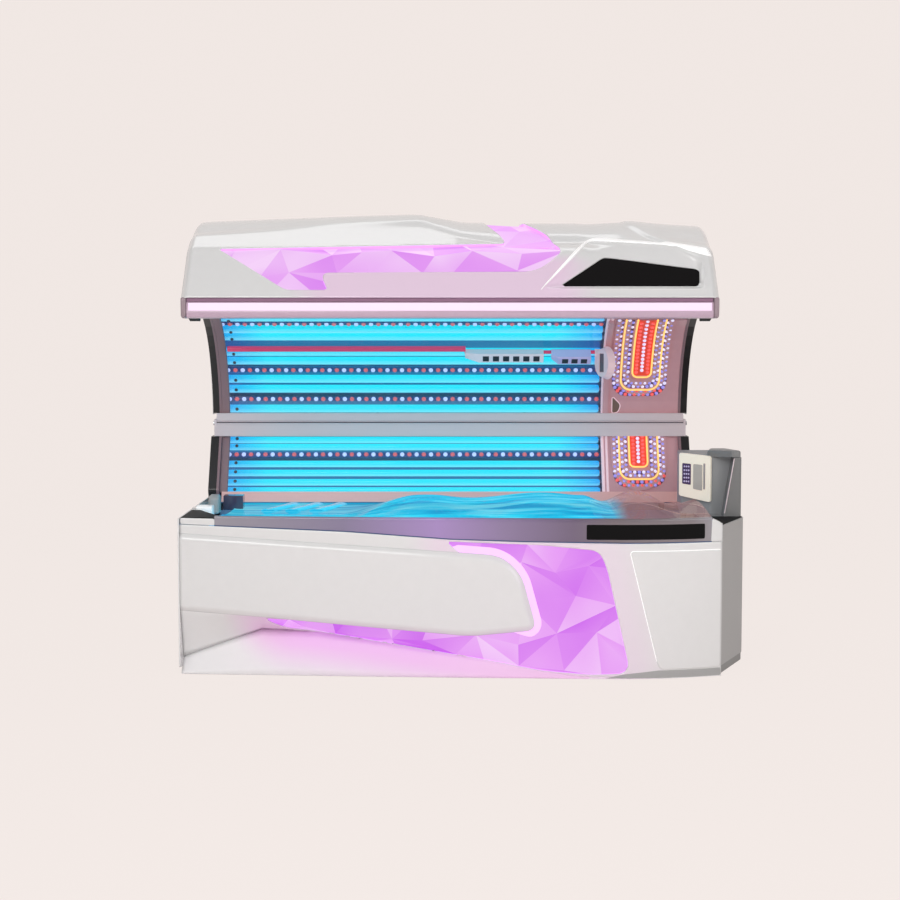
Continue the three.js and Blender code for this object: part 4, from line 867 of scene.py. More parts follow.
# Base front: one surface whose plan bows out and whose foot is pressed back along a crease
front = {
    "left": -1093.5, "right": 1096, "floorGap": 5,
    "paneFoot": [(-1100, 264), (-752, 240), (80, 172), (348, 200)],
    "crease": [(-1100, 60), (-772, 173), (-540, 169), (-162, 113), (164, 68), (368, 34), (532, 12)],
    "press": [(-1100, 70), (-772, 110), (-162, 70), (368, 0)],
    "skirt": [(-1100, 34), (-930, 40), (-420, 58), (0, 86), (300, 94), (700, 98), (1100, 98)],
    "benchTop": 650, "paneRise": 16, "paneBevel": 26, "wall": 4, "paneWall": 6,
    "pane": [(-1300, 278), (-752, 240), (80, 172), (348, 200), (286, 426), (204, 500), (40, 512),
             (-1300, 592)],
    "paneRadius": [5, 60, 60, 46, 90, 80, 60, 5],
    "glow": [(-756, 236), (-720, 206), (-660, 180), (-540, 169), (-162, 113), (164, 68), (368, 34), (560, 20),
             (724, 26), (628, 452), (596, 522), (360, 544), (-20, 556), (60, 490), (170, 430), (250, 215),
             (80, 186), (-400, 224)],
    "glowEnds": (-752, 760), "glowGap": 12, "paintedGlowReach": (20, 190),
    "glowRadius": [8, 30, 40, 40, 60, 60, 60, 30, 60, 80, 70, 30, 20, 20, 20, 20, 20, 20],
    "corner": [(719, 518), (838, 42), (1092, 42), (1092, 518)],
    # the grey band under the corner cover is painted shade
    "under_painted_shade": [(620, 7), (1094, 7), (1094, 39), (836, 39), (690, 24)],
    "right_return": [(1084, 8), (1095.5, 6), (1098.6, 10), (1098.6, 44), (1084, 44)],
    "right_post": [(1049, 552), (1095, 552), (1095, 626), (1053, 646)],
    "left_trim": [(-1091, 617), (-952, 612), (-952, 638), (-1091, 640)],
}
plan = {"half": 1100, "turn": 690, "back": 40, "out": 77, "ease": 0.3}


def frontPlan(x):
    # how far back the front lies: a long bow from the left end and a short return at the right
    left = (x + plan["half"]) / (plan["turn"] + plan["half"])
    right = (x - plan["turn"]) / (plan["half"] - plan["turn"])
    bow = (plan["back"] + plan["out"]) * left * (1 + plan["ease"] - plan["ease"] * left)
    return np.where(x < plan["turn"], plan["back"] - bow, plan["out"] * (right * right - 1))


def frontPlace(x, z, depth):
    # pressed back most at the crease, and not at all at the floor or at the pane's foot
    crease, foot, press = lineAt(front["crease"], x), lineAt(front["paneFoot"], x), lineAt(front["press"], x)
    share = np.where(z < crease, z / crease, np.clip((foot - z) / np.maximum(foot - crease, 1), 0, 1))
    return toRow(x, frontPlan(x) + press * share + depth, z)


def coverTop(x):
    # the cover ends just under the bench's skirt
    return front["benchTop"] - lineAt(front["skirt"], x) - 1


frontGlowLoop = roundOutline(front["glow"], front["glowRadius"])
paneLoop = roundOutline(front["pane"], front["paneRadius"])

# a satin white, with the glow panel's pink light painted in where the paintedGlow mark is set
toeWhite = solidFinish("satin white ABS", "#f0eff0", 0.62, grain=30, tint=0.02, shine=0.2, paintedGlow="#f3cdf0")
paintedEdgeHighlight = solidFinish("white edge with a painted highlight", "#ffffff", 0.25, grain=20, glow=("#ffffff", 0.22))


def buildFront():
    # rows from the floor to the crease make the toe, and rows from there to the bench make the cover
    x = np.linspace(front["left"], front["right"], 260)
    crease, top = lineAt(front["crease"], x), coverTop(x)
    foot = np.maximum(lineAt(front["paneFoot"], x), crease + 2)
    low = front["floorGap"] + 0 * x
    toeZ = np.stack([low + (crease - low) * k for k in np.linspace(0, 1, 7)], -1)
    rows = [crease + (foot - crease) * k for k in np.linspace(0, 1, 9)[:-1]]
    rows += [foot + (top - foot) * k for k in np.linspace(0, 1, 46)]
    gridZ = np.stack(rows, -1)
    gridX = np.broadcast_to(x[:, None], gridZ.shape)
    toe = sheetFaces(frontPlace, np.broadcast_to(x[:, None], toeZ.shape), toeZ, ())
    cover = sheetFaces(frontPlace, gridX, gridZ, (frontGlowLoop,))
    lip = [(3, 0.9), (0.5, 0.1), (-0.6, 0.6), (-1.3, 1.9), (-1.5, 3.5)]
    wall = [(-1.5, 3.5), (-1.8, 9), (-2, 17)]
    # the glow panel's pink light is painted on the toe, the recess beside it and the strip between the glow
    # and the corner cover
    flatX = np.concatenate((gridX.ravel(), np.repeat(x, 7)))
    flatZ = np.concatenate((gridZ.ravel(), toeZ.ravel()))
    fall = 1 - smoothStep(loopDistance(frontGlowLoop, flatX, flatZ), *front["paintedGlowReach"])
    level = np.where(flatX > 560, 0.45, np.where(flatZ > 300, 0.6, 1.1))
    paintedGlow = np.clip(fall * level, 0, 1)
    addPiece("front_skin", *cover, "base", "white_shell", stands=("front_cover",), thick=front["wall"],
             marks={"paintedGlow": paintedGlow[:gridX.size]})
    addPiece("front_toe", *toe, "base", "white_shell", toeWhite, ("toe_skirt",), thick=front["wall"],
             marks={"paintedGlow": paintedGlow[gridX.size:]})
    cornerLoop = roundOutline(front["corner"], [14, 26, 16, 10])
    patchPiece("front_corner_cover", frontPlace, cornerLoop, [(-1, 1), (0, -2), (1.5, -3.4), (4, -4)], "base",
               "white_shell", rings=24)
    # a raised strip along the corner cover's seam in a white that glows a little: a painted highlight
    seam = edgeStrip(frontPlace, cornerLoop, [(3.4, 0.2), (3.2, -1.6), (0.4, -1.8), (0.2, 0.2)])
    shown = (cornerLoop[:, 0] < 830) & (cornerLoop[:, 1] > 60) | (cornerLoop[:, 1] > 514)
    seamFaces = seam[1][shown[seam[1] // 4].all(1)]
    addPiece("front_corner_painted_highlight", seam[0], seamFaces, "base", "white_shell", paintedEdgeHighlight)
    for word, place, radius, edge, rings, slotName in (
            ("right_return", toRow, 3, [(0, 8), (0, 622), (2, 624)], 6, "white_shell"),
            ("right_post", frontPlace, [3, 6, 16, 8], [(-1, 12), (0, 2), (2, 0.4), (5, 0)], 14,
             "white_shell"),
            # a grey band along the foot under the corner cover: painted shade
            ("under_painted_shade", frontPlace, 3, [(0, 1), (1, -0.6)], 14, "grey_shell"),
            ("left_trim", frontPlace, 4, [(-1, 3), (0, -0.5), (2, -1.5)], 14, "white_shell")):
        patchPiece("front_" + word, place, roundOutline(front[word], radius), edge, "base", slotName,
                   rings=rings)
    addPiece("front_glow_lip", *edgeStrip(frontPlace, frontGlowLoop, lip), "base", "white_shell")
    addPiece("front_glow_wall", *edgeStrip(frontPlace, frontGlowLoop, wall), "base", "glow_acrylic", wallGlow)
    # the lit edge round the pane's right end tapers off at both ends
    lit = np.array([(28, 8), (16, 6.5), (6, 5), (-6, 4)])
    keep = (paneLoop[:, 0] > 60) & ((paneLoop[:, 1] > 240) | (paneLoop[:, 0] > 250)) | (
        (paneLoop[:, 0] > -40) & (paneLoop[:, 1] > 400))
    start = np.flatnonzero(keep & ~np.roll(keep, 1))[0]
    line, out = (np.roll(part, -start, 0)[:keep.sum()] for part in (paneLoop, loopNormals(paneLoop)))
    swell = np.minimum(1, 3.2 * np.sin(np.linspace(0, math.pi, len(line))))
    spots = line[:, None] + out[:, None] * (lit[None, :, :1] * swell[:, None, None])
    points = frontPlace(spots[..., 0], spots[..., 1], lit[None, :, 1] + 0 * spots[..., 0])
    faces = gridQuads(len(line), len(lit))
    addPiece("front_pane_glow_edge", points, faces[:, ::-1], "base", "glow_acrylic", edgeGlow)


def frontFacetKeep(x, v):
    # lattice points held behind the cover
    ends = np.clip(x, *front["glowEnds"])
    top = np.where(x < -600, 232, coverTop(x) - front["glowGap"])
    return ends, np.clip(v, lineAt(front["crease"], ends) + 1, top)


def buildPane():
    # columns between the outline's lower and upper lines, raised by their distance from the edge
    tip = paneLoop[:, 0].argmax()
    loop = np.roll(paneLoop, -tip, 0)
    start = loop[:, 0].argmin()
    upper, lower = loop[:start + 1], np.concatenate((loop[start:], loop[:1]))
    if upper[:, 1].mean() < lower[:, 1].mean():
        upper, lower = lower[::-1], upper[::-1]
    end = loop[0, 0] - 0.05
    x = front["left"] + (end - front["left"]) * np.sin(np.linspace(0, math.pi / 2, 190))
    lowZ, highZ = np.interp(x, lower[:, 0], lower[:, 1]), np.interp(x, upper[::-1, 0], upper[::-1, 1])
    share = np.linspace(0, 1, 64)
    share = 0.5 - 0.5 * np.sin(math.pi * (0.5 - share)) * 0.35 - (0.5 - share) * 0.65
    gridZ = lowZ[:, None] + (highZ - lowZ)[:, None] * share
    gridX = np.broadcast_to(x[:, None], gridZ.shape)
    edge = np.clip(loopDistance(paneLoop, gridX, gridZ) / front["paneBevel"], 0, 1)
    rise = front["paneRise"] * (1 - (1 - edge) ** 1.7) + 0.3
    points = frontPlace(gridX, gridZ, 0.6 - rise)
    addPiece("front_pane_raised", points, gridQuads(*gridX.shape)[:, ::-1], "base", "white_shell",
             stands=("front_pane",), thick=front["paneWall"])


buildFront()
facetPanel("front_glow_facets", frontPlace, frontGlowLoop, "base", ("front_glow_panel",),
           np.array([165, 140]), 13, 4, 5, frontFacetKeep, (0.1, 0.75))
buildPane()
print("base front built")

# Lamps: glass tubes with bright caps, held by dark lampholders
lamps = {"left": -1036, "right": 690, "cap": 8, "sides": 20, "clip": -978, "sideRadius": 15,
         "archRadius": 18, "benchRadius": 19, "benchFirst": 140, "benchPitch": 67, "benchHeight": 552,
         "archFirst": 17.3, "archPitch": 14.6, "pairGap": 5}
benchLamps = [(lamps["benchFirst"] + lamps["benchPitch"] * k, lamps["benchHeight"]) for k in range(11)]
sideLine = {"foot": (930, 668), "slope": (1040 - 930) / (892 - 668)}
sideHeights = np.array([892, 860, 785, 745, 704, 668.0])
archAngles = np.array([lamps["archFirst"] + lamps["archPitch"] * (k // 2) + lamps["pairGap"] * (k % 2)
                       for k in range(-1, 13)])


def sideSpot(z, away):
    # a point of the side tanner's slope, moved off it at right angles
    lean = math.hypot(1, sideLine["slope"])
    y = sideLine["foot"][0] + (z - sideLine["foot"][1]) * sideLine["slope"]
    return y + away / lean, z - away * sideLine["slope"] / lean


def tubes(axis, rings):
    # circles of the given radii set along X round each axis
    rings = np.array(rings, float)
    turn = circle(lamps["sides"])
    axis = np.array(axis, float)
    y = axis[:, None, None, 0] + rings[None, :, None, 1] * np.cos(turn)
    z = axis[:, None, None, 1] + rings[None, :, None, 1] * np.sin(turn)
    points = toRow(np.broadcast_to(rings[None, :, None, 0], y.shape), y, z)
    return points, repeatQuads(len(axis), len(rings), len(turn))


def lampFinish():
    # phosphor behind glass, lit: an even cyan that pales along the tube's middle and deepens towards the caps
    material, tree = startMaterial("lit phosphor lamp tube")
    place = addNode(tree, "TexCoord").outputs["Object"]
    along = alongBed(tree, place)
    middle = (lamps["left"] + lamps["right"]) / 2 + bedMiddle
    away = mathNode(tree, "SUBTRACT", along, middle / 1000)
    away = mathNode(tree, "ABSOLUTE", away)
    fade = addNode(tree, "MapRange", {"Value": away, "From Min": 0.66, "From Max": 0.88}).outputs[0]
    ramp = colorRamp(tree, fade, [(0, "#22f2fa"), (1, "#159df2")])
    facing = addNode(tree, "NewGeometry").outputs["Normal"]
    facing = addNode(tree, "SeparateXYZ", {"Vector": facing}).outputs["Z"]
    pale = addNode(tree, "MapRange", {"Value": facing, "From Min": 0.1, "From Max": -0.75,
                                      "To Max": 0.5}).outputs[0]
    color = addNode(tree, "MixRGB", {0: pale, 1: ramp.outputs["Color"], 2: linear("#a6fbff")}).outputs[0]
    shader = addNode(tree, "BsdfPrincipled", {"Base Color": linear("#0a5a60"), "Roughness": 0.14,
                                              "Emission Color": color, "Emission Strength": 0.96})
    return closeMaterial(material, tree, shader.outputs[0])


lampGlass = lampFinish()


def lampBank(name, axis, radius, body, node):
    # glass between two caps, each a few circles
    left, right, cap = lamps["left"], lamps["right"], lamps["cap"]
    glass = [(left + cap - 3, radius - 6), (left + cap, radius - 4), (left + cap + 6, radius)]
    glass += [(right - cap - 6, radius), (right - cap, radius - 4), (right - cap + 3, radius - 6)]
    near = [(left - 6, 4), (left, radius - 5), (left + cap, radius - 3.5), (left + cap, 6)]
    far = [(right - cap, 6), (right - cap, radius - 3.5), (right, radius - 5), (right + 6, 4)]
    ends = joinGrids(tubes(axis, near), tubes(axis, far))
    addPiece(name + "_tubes", *tubes(axis, glass), body, "lamp_glass", lampGlass, (node,))
    addPiece(name + "_caps", *ends, body, "bright_steel")


def holderRail(name, path, depth, body):
    # a flat dark bar bent along a line of (y, z) points, at both ends of the lamps
    path = np.array(path, float)
    off = pathSide(path)
    parts = []
    for x0, x1 in ((lamps["left"] - 8.5, lamps["left"] - 0.5), (lamps["right"] + 0.5, lamps["right"] + 8.5)):
        section = [(x0, depth[0]), (x1, depth[0]), (x1, depth[1]), (x0, depth[1])]
        spots = [(np.full(len(path), x), path + off * d) for x, d in section]
        points = np.stack([toRow(x, line[:, 0], line[:, 1]) for x, line in spots], 1)
        parts.append((points, gridQuads(len(path), 4, loopColumns=True)))
    points, faces = joinGrids(*parts)
    addPiece(name, points, faces, body, "dark_plastic")


archAxis = np.stack(archSpot(archAngles, arch["lamps"]), -1)
sideAxis = np.stack(sideSpot(sideHeights, 0), -1)
holderArch = np.stack(archSpot(np.linspace(6, 108, 40), arch["lamps"]), -1)
holderSide = np.stack(sideSpot(np.array([655, 903.0]), 0), -1)
lampBank("bench_lamp", benchLamps, lamps["benchRadius"], "base", "bench_lamp_bank")
lampBank("side_lamp", sideAxis, lamps["sideRadius"], "base", "side_lamp_bank")
lampBank("canopy_lamp", archAxis, lamps["archRadius"], "canopy", "canopy_lamp_bank")
holderRail("bench_lampholders", [(y, lamps["benchHeight"]) for y in (118, 832)], (8, 18), "base")
holderRail("side_lampholders", holderSide, (6, 16), "base")
holderRail("canopy_lampholders", holderArch, (6, 14), "canopy")
print("lamps built")

# LED rows: beads in two colours, each a small dome on its board
leds = {
    "pitch": 33, "radius": 10.5, "rings": 4, "sides": 10, "flatten": 0.8,
    "white": "#ddd6f4", "coral": "#ee5a56", "violet": "#8f86d8",
    "canopyAngles": (12.4, 27.1, 56.3), "sideHeight": 824.6, "proud": 6.5,
}


def ledFinish():
    # epoxy lens over a lit chip: coral or pale lavender by the bead's own mark
    material, tree = startMaterial("epoxy LED lens")
    mark = addNode(tree, "Attribute", attribute_name="shade").outputs["Fac"]
    ramp = colorRamp(tree, mark, [(0, leds["coral"]), (0.5, leds["white"]), (0.8, leds["violet"])])
    ramp.color_ramp.interpolation = "CONSTANT"
    shader = addNode(tree, "BsdfPrincipled", {"Base Color": ramp.outputs["Color"], "Roughness": 0.12,
                                              "Coat Weight": 0.6, "Emission Color": ramp.outputs["Color"],
                                              "Emission Strength": 0.6})
    return closeMaterial(material, tree, shader.outputs[0])


ledLens = ledFinish()


def domes(centers, normals, radius):
    # each bead: rings of a flattened half sphere about its own normal
    normals = unit(normals)
    side = unit(np.cross(normals, (1, 0, 0)))
    other = np.cross(normals, side)
    tilt = np.linspace(math.pi / 2, 0, leds["rings"] + 1)
    turn = circle(leds["sides"])
    tilt, turn = tilt[None, :, None, None], turn[None, None, :, None]
    flat = np.cos(turn) * side[:, None, None] + np.sin(turn) * other[:, None, None]
    dome = np.sin(tilt) * flat + leds["flatten"] * np.cos(tilt) * normals[:, None, None]
    spots = centers[:, None, None] + radius * dome
    return rowPoints(spots), repeatQuads(len(centers), leds["rings"] + 1, leds["sides"])


def beadPiece(name, centers, normals, radius, marks, body):
    # every face of a bead has that bead's mark
    points, faces = domes(centers, normals, radius)
    shades = np.repeat(np.asarray(marks, float), leds["rings"] * leds["sides"])
    addPiece(name, points, faces, body, "led_board", ledLens, (), 60, {"shade": shades}, weld=True)


def buildLedRows():
    # coral and white by turns, three rows along the arch and one along the side tanner
    x = np.arange(lamps["left"] + 25, lamps["right"] - 10, leds["pitch"])
    marks = np.where(np.arange(len(x)) % 2, 0.1, 0.6)
    for k, angle in enumerate(leds["canopyAngles"]):
        y, z = archSpot(angle, arch["lamps"] - leds["proud"])
        centers = np.stack(np.broadcast_arrays(x, y, z), -1)
        inward = np.broadcast_to((0, arch["y"] - y, arch["z"] - z), centers.shape)
        beadPiece("canopy_led_beads_%d" % (k + 1), centers, inward, leds["radius"], marks, "canopy")
    y, z = sideSpot(leds["sideHeight"], -leds["proud"])
    centers = np.stack(np.broadcast_arrays(x, y, z), -1)
    outward = np.broadcast_to((0, -1, sideLine["slope"]), centers.shape)
    beadPiece("side_led_beads", centers, outward, leds["radius"], marks, "base")


def lampClips(name, axis, inward, radius, body):
    # the dark spring clip that shows on the near side of every tube by its left end
    inward = unit(np.array(inward, float))
    centers = np.insert(np.array(axis, float) + inward * (radius - 1), 0, lamps["clip"], axis=1)
    points, faces = domes(centers, np.insert(inward, 0, 0, axis=1), 8)
    addPiece(name, points, faces, body, "dark_plastic", weld=True)


buildLedRows()
lampClips("canopy_lamp_clips", archAxis, (arch["y"], arch["z"]) - archAxis, lamps["archRadius"], "canopy")
lampClips("side_lamp_clips", sideAxis, np.broadcast_to((-1, sideLine["slope"]), sideAxis.shape),
          lamps["sideRadius"], "base")
print("LED rows built")

# Face panels: U-shaped double bead tracks with amber light lines between them
facePanels = {
    "canopy": {"top": 1440, "tracks": [(746, 979, 1103), (792, 944, 1140)],
               "lines": [(777, 953, 1124), (828, 914, 1182)], "columns": (846, 871, 896), "columnFoot": 1205,
               "corner": 60},
    "side": {"top": 902, "tracks": [(750, 974, 679), (786, 937, 722)],
             "lines": [(773, 950, 706), (819, 901, 760)], "columns": (838, 860, 882), "columnFoot": 776,
             "corner": 56},
    "beadPitch": 20, "beadRadius": 8.5, "lineRadius": 4.2, "gap": 16, "nest": 22, "lineNest": 24, "step": 12,
    "redRise": 44, "plateHalf": 40,
}


def trackLine(left, right, foot, top, corner, pitch):
    # down the left leg, round two quarter circles at the foot and up the right leg, at even spacing
    corner = min(corner, (right - left) / 2 - 1)
    turn = np.linspace(0, math.pi / 2, 14)
    near, far, low = left + corner, right - corner, foot + corner
    lineX = np.concatenate(([left], near - corner * np.cos(turn), far + corner * np.sin(turn), [right]))
    lineZ = np.concatenate(([top], low - corner * np.sin(turn), low - corner * np.cos(turn), [top]))
    run = runAlong(np.stack((lineX, lineZ), -1))
    marks = np.linspace(0, run[-1], int(run[-1] / pitch) + 1)
    return np.interp(marks, run, lineX), np.interp(marks, run, lineZ)


def canopyFaceSpot(x, z, proud):
    # a point of the arch's pane and the way it faces
    radius = arch["pane"] - proud
    y = arch["y"] + np.sqrt(radius ** 2 - (z - arch["z"]) ** 2)
    return np.stack((x, y, z), -1), np.stack((0 * x, arch["y"] - y, arch["z"] - z), -1)


def sideFaceSpot(x, z, proud):
    # the same on the side tanner's slope
    y, height = sideSpot(z, -26 - proud)
    return np.stack((x, y, height), -1), np.stack((0 * x, -1 + 0 * x, sideLine["slope"] + 0 * x), -1)


def lightLine(centers, normals, width, height):
    # a bar of oval section carried along a line of points
    along, up = unit(np.gradient(centers, axis=0)), unit(np.broadcast_to(normals, centers.shape))
    side = np.cross(along, up)
    turn = circle(8)[None, :, None]
    spots = centers[:, None] + width * np.cos(turn) * side[:, None] + height * np.sin(turn) * up[:, None]
    return rowPoints(spots), gridQuads(len(centers), 8, loopColumns=True)[:, ::-1]


amberLine = solidFinish("lit amber light guide", "#e8b45a", 0.25, grain=20, glow=("#ffcf78", 0.8))
trackBed = solidFinish("dark mauve bead bed", "#6d4a66", 0.4, grain=10)
redBed = solidFinish("lit red filter plate", "#c23a30", 0.35, grain=10, glow=("#e8513a", 0.45))


def buildFacePanel(key, spot, body):
    # two tracks of double beads, three columns of beads between their legs, and lit lines between the tracks
    shape, pitch, gap, step = facePanels[key], facePanels["beadPitch"], facePanels["gap"], facePanels["step"]
    rowX, rowZ, marks, beds, lines = [], [], [], [], []
    for k, (left, right, foot) in enumerate(shape["tracks"]):
        corner = shape["corner"] - facePanels["nest"] * k
        for inner in (0, 1):
            inset = gap * inner
            x, z = trackLine(left + inset, right - inset, foot + inset, shape["top"] - 9 * inner,
                             corner - inset, pitch)
            low = (z < foot + facePanels["redRise"]) & (k == 0) & ((np.arange(len(x)) + inner) % 2 == 0)
            rowX, rowZ = rowX + [x], rowZ + [z]
            marks.append(np.where(low, 0.1, np.where((np.arange(len(x)) + inner) % 2, 0.9, 0.6)))
        inset = gap / 2
        x, z = trackLine(left + inset, right - inset, foot + inset, shape["top"], corner - inset, step)
        beds.append(lightLine(*spot(x, z, 1.5), gap, 2))
    z = np.arange(shape["columnFoot"], shape["top"], pitch * 0.85)
    for k, x in enumerate(shape["columns"]):
        rowX, rowZ = rowX + [np.full(len(z), float(x))], rowZ + [z + (k == 1) * pitch * 0.45]
        marks = marks + [np.full(len(z), 0.6 if k == 1 else 0.1)]
    x, z, marks = np.concatenate(rowX), np.concatenate(rowZ), np.concatenate(marks)
    centers, normals = spot(x, z, 4)
    beadPiece(key + "_face_beads", centers, normals, facePanels["beadRadius"], marks, body)
    for k, (left, right, foot) in enumerate(shape["lines"]):
        corner = shape["corner"] - 12 - facePanels["lineNest"] * k
        x, z = trackLine(left, right, foot, shape["top"], corner, step)
        lines.append(lightLine(*spot(x, z, 8), facePanels["lineRadius"], facePanels["lineRadius"]))
    addPiece(key + "_face_lines", *joinGrids(*lines), body, "led_board", amberLine)
    addPiece(key + "_face_beds", *joinGrids(*beds), body, "led_board", trackBed)
    z = np.linspace(shape["columnFoot"] - 14, shape["top"], 30)
    plate = lightLine(*spot(np.full(30, float(shape["columns"][1])), z, 1.5), facePanels["plateHalf"], 2)
    addPiece(key + "_face_plate", *plate, body, "led_board", redBed)


def cheekTrim(name, path, body, span, slotName, finish):
    # a strip over the ends of the lamps, bent along a line of (y, z) points
    path = np.array(path, float)
    x = np.array([span[0], span[0] + 2, span[1] - 4, span[1]], float)
    back = np.array([4, 0, 0, 5.0])
    off = pathSide(path)
    spots = path[None] + off[None] * back[:, None, None]
    addPiece(name, toRow(x[:, None], spots[..., 0], spots[..., 1]), gridQuads(4, len(path))[:, ::-1], body,
             slotName, finish)


# a faint glow of its own: painted light on the dividers and the pocket border
pinkRib = solidFinish("pale pink ABS divider", "#f0d0d8", 0.35, coat=0.3, grain=20, glow=("#f0c8d0", 0.24))
trimArch = np.stack(archSpot(np.linspace(5, 78, 40), arch["pane"] - 3), -1)
trimSide = np.stack(sideSpot(np.linspace(650, 905, 8), -29), -1)
for trimName, trimPath, trimBody in (("canopy", trimArch, "canopy"), ("side", trimSide, "base")):
    cheekTrim(trimName + "_cheek_trim", trimPath, trimBody, (-1046, -1008), "dark_plastic", cheek)
    cheekTrim(trimName + "_divider", trimPath, trimBody, (690, 706), "face_plastic", pinkRib)
    cheekTrim(trimName + "_divider_edge", trimPath, trimBody, (710, 724), "face_plastic", pinkRib)
recess = [(744, 1090), (780, 1054), (768, 1022), (744, 1018)]


def recessPlace(x, z, depth):
    # the arch's pane as a surface to draw on
    return rowPoints(canopyFaceSpot(x, z, -depth)[0])


def buildRecess():
    # a small dark pocket with a pale raised border
    loop = roundOutline(recess, [8, 14, 10, 8], 3)
    brown = solidFinish("brown ABS pocket", "#7b6258", 0.4, grain=6)
    patchPiece("canopy_face_pocket", recessPlace, loop, [(0, -1), (1, -1.4)], "canopy", "dark_plastic", brown)
    border = edgeStrip(recessPlace, loop, [(5, 0), (4.4, -3), (0.6, -3), (0, 0)])
    addPiece("canopy_face_pocket_border", *border, "canopy", "face_plastic", pinkRib)


buildRecess()
railSeal = np.array([(998.4, 972), (998.4, 976.5), (1006, 976.5), (1006, 972)])
barPiece("side_rail_seal", railSeal, (-1068, 1068), 1, "base", "rubber",
         solidFinish("dark plum rubber seal", "#4a4048", 0.5, grain=6))
buildFacePanel("canopy", canopyFaceSpot, "canopy")
buildFacePanel("side", sideFaceSpot, "base")
print("face panels built")

# Bench: a wavy clear sheet over the lamps, a smoked skirt in front and the fittings at its left end
bench = {
    "left": -952, "right": 1051, "rear": 890, "top": 650, "skirtRise": 9, "skirtDepth": 12,
    "smoke": [(0.0, "#96939c"), (0.26, "#857b98"), (0.45, "#a68ac2"), (0.58, "#8c7a9e"), (0.72, "#6f6078"),
              (0.8, "#756a70"), (0.96, "#857c80"), (1.0, "#98949a")],
    "strip": [(545, 566), (1022, 566), (1022, 625), (545, 625)],
    "rays": [((690, 0.24), (1044, 0.06)), ((700, 0.62), (1046, 0.5)), ((900, 0.9), (1047, 0.2))],
    "grips": (-828, -722, -616), "gripSpan": (0.68, 0.95), "gripWidth": 62, "gripLean": 92, "gripRise": 9,
    "swell": 84, "swellFrom": (-470, -130), "swellTo": (560, 690), "swellLoss": 0.75, "sag": 22, "drop": 34,
    "ripple": 12, "rippleAt": -60, "rippleLength": 95, "rippleFrom": (-150, 40), "rippleTo": (480, 640),
    "head": 84, "headAt": 790, "headWidth": 120, "ends": 40, "endsFrom": (930, 1051), "skirtGap": 2,
    "veilFrom": 660, "veilTo": 720,
}


def benchLine(x, share, lift=0.0):
    # the sheet drops to the rear and sags, and swells under the back, at the head and at both ends
    edge = frontPlan(x) + bench["skirtGap"] + bench["skirtDepth"]
    fall = 1 - bench["swellLoss"] * smoothStep(x, *bench["swellTo"])
    swell = bench["swell"] * smoothStep(x, *bench["swellFrom"]) * fall
    wave = np.sin((x - bench["rippleAt"]) / bench["rippleLength"])
    swell = swell - bench["ripple"] * wave * between(x, bench["rippleFrom"], bench["rippleTo"])
    swell = swell + bench["head"] * np.exp(-((x - bench["headAt"]) / bench["headWidth"]) ** 2)
    swell = swell + bench["ends"] * smoothStep(np.abs(x), *bench["endsFrom"]) - bench["sag"]
    height = bench["top"] - bench["drop"] * share + np.sin(math.pi * share) * swell + lift
    return np.broadcast_arrays(x, edge + (bench["rear"] - edge) * share, height)


def benchSpot(x, share, lift=0.0):
    # the sheet's points in the shared frame
    return toRow(*benchLine(x, share, lift))


def benchFinish():
    # clear acrylic with painted lamp light in it: an emitted cyan over the lamps and an emitted pinkish veil
    # at the head
    material, tree = startMaterial("clear acrylic lit by lamps")
    place = addNode(tree, "TexCoord").outputs["Object"]
    along = alongBed(tree, place)
    share = addNode(tree, "MapRange", {"Value": along, "From Min": (bench["veilFrom"] + bedMiddle) / 1000,
                                       "From Max": (bench["veilTo"] + bedMiddle) / 1000}).outputs[0]
    noise = grainNoise(tree, place, 90)
    relief = addNode(tree, "Bump", {"Height": noise, "Strength": 0.2, "Distance": 0.008}).outputs["Normal"]
    # lighter and darker streaks in the emitted cyan: painted reflections of the lamps
    streak = addNode(tree, "Mapping", {"Vector": place, "Scale": (1.6, 9, 9)}).outputs["Vector"]
    wave = addNode(tree, "TexNoise", {"Vector": streak, "Scale": 2.2, "Detail": 2.0, "Distortion": 0.6})
    ramp = colorRamp(tree, wave.outputs["Fac"], [(0.34, "#1ea6de"), (0.5, "#2bd0f8"), (0.68, "#74e8ff")])
    color = addNode(tree, "MixRGB", {0: share, 1: ramp.outputs["Color"], 2: linear("#b98a86")}).outputs[0]
    lit = addNode(tree, "Emission", {"Color": color, "Strength": 1.0}).outputs[0]
    through = addNode(tree, "BsdfTransparent", {"Color": linear("#f0f8ff")}).outputs[0]
    gloss = addNode(tree, "BsdfGlossy", {"Roughness": 0.05, "Normal": relief}).outputs[0]
    edge = mathNode(tree, "MULTIPLY", frontFresnel(tree, 1.3, relief), 0.4)
    cover = addNode(tree, "MapRange", {"Value": share, "To Min": 0.82, "To Max": 0.45}).outputs[0]
    body = addNode(tree, "MixShader", {0: cover, 1: through, 2: lit}).outputs[0]
    skin = addNode(tree, "MixShader", {0: edge, 1: body, 2: gloss}).outputs[0]
    return closeMaterial(material, tree, skin)


def smokeFinish():
    # smoked acrylic whose backing changes along the bed
    material, tree = startMaterial("smoked acrylic skirt")
    place = addNode(tree, "TexCoord").outputs["Object"]
    along = alongBed(tree, place)
    share = addNode(tree, "MapRange", {"Value": along, "From Min": (bench["left"] + bedMiddle) / 1000,
                                       "From Max": (bench["right"] + bedMiddle) / 1000}).outputs[0]
    ramp = colorRamp(tree, share, bench["smoke"])
    shader = addNode(tree, "BsdfPrincipled", {"Base Color": ramp.outputs["Color"], "Roughness": 0.1,
                                              "Coat Weight": 0.5}).outputs[0]
    return closeMaterial(material, tree, shader)


def skirtPlace(x, z, depth):
    # the bow of the front, a little behind it
    return toRow(x, frontPlan(x) + bench["skirtGap"] + depth, z)


deckBlack = solidFinish("matt black ABS", "#0d0c0d", 0.55, grain=8, shine=0.12)


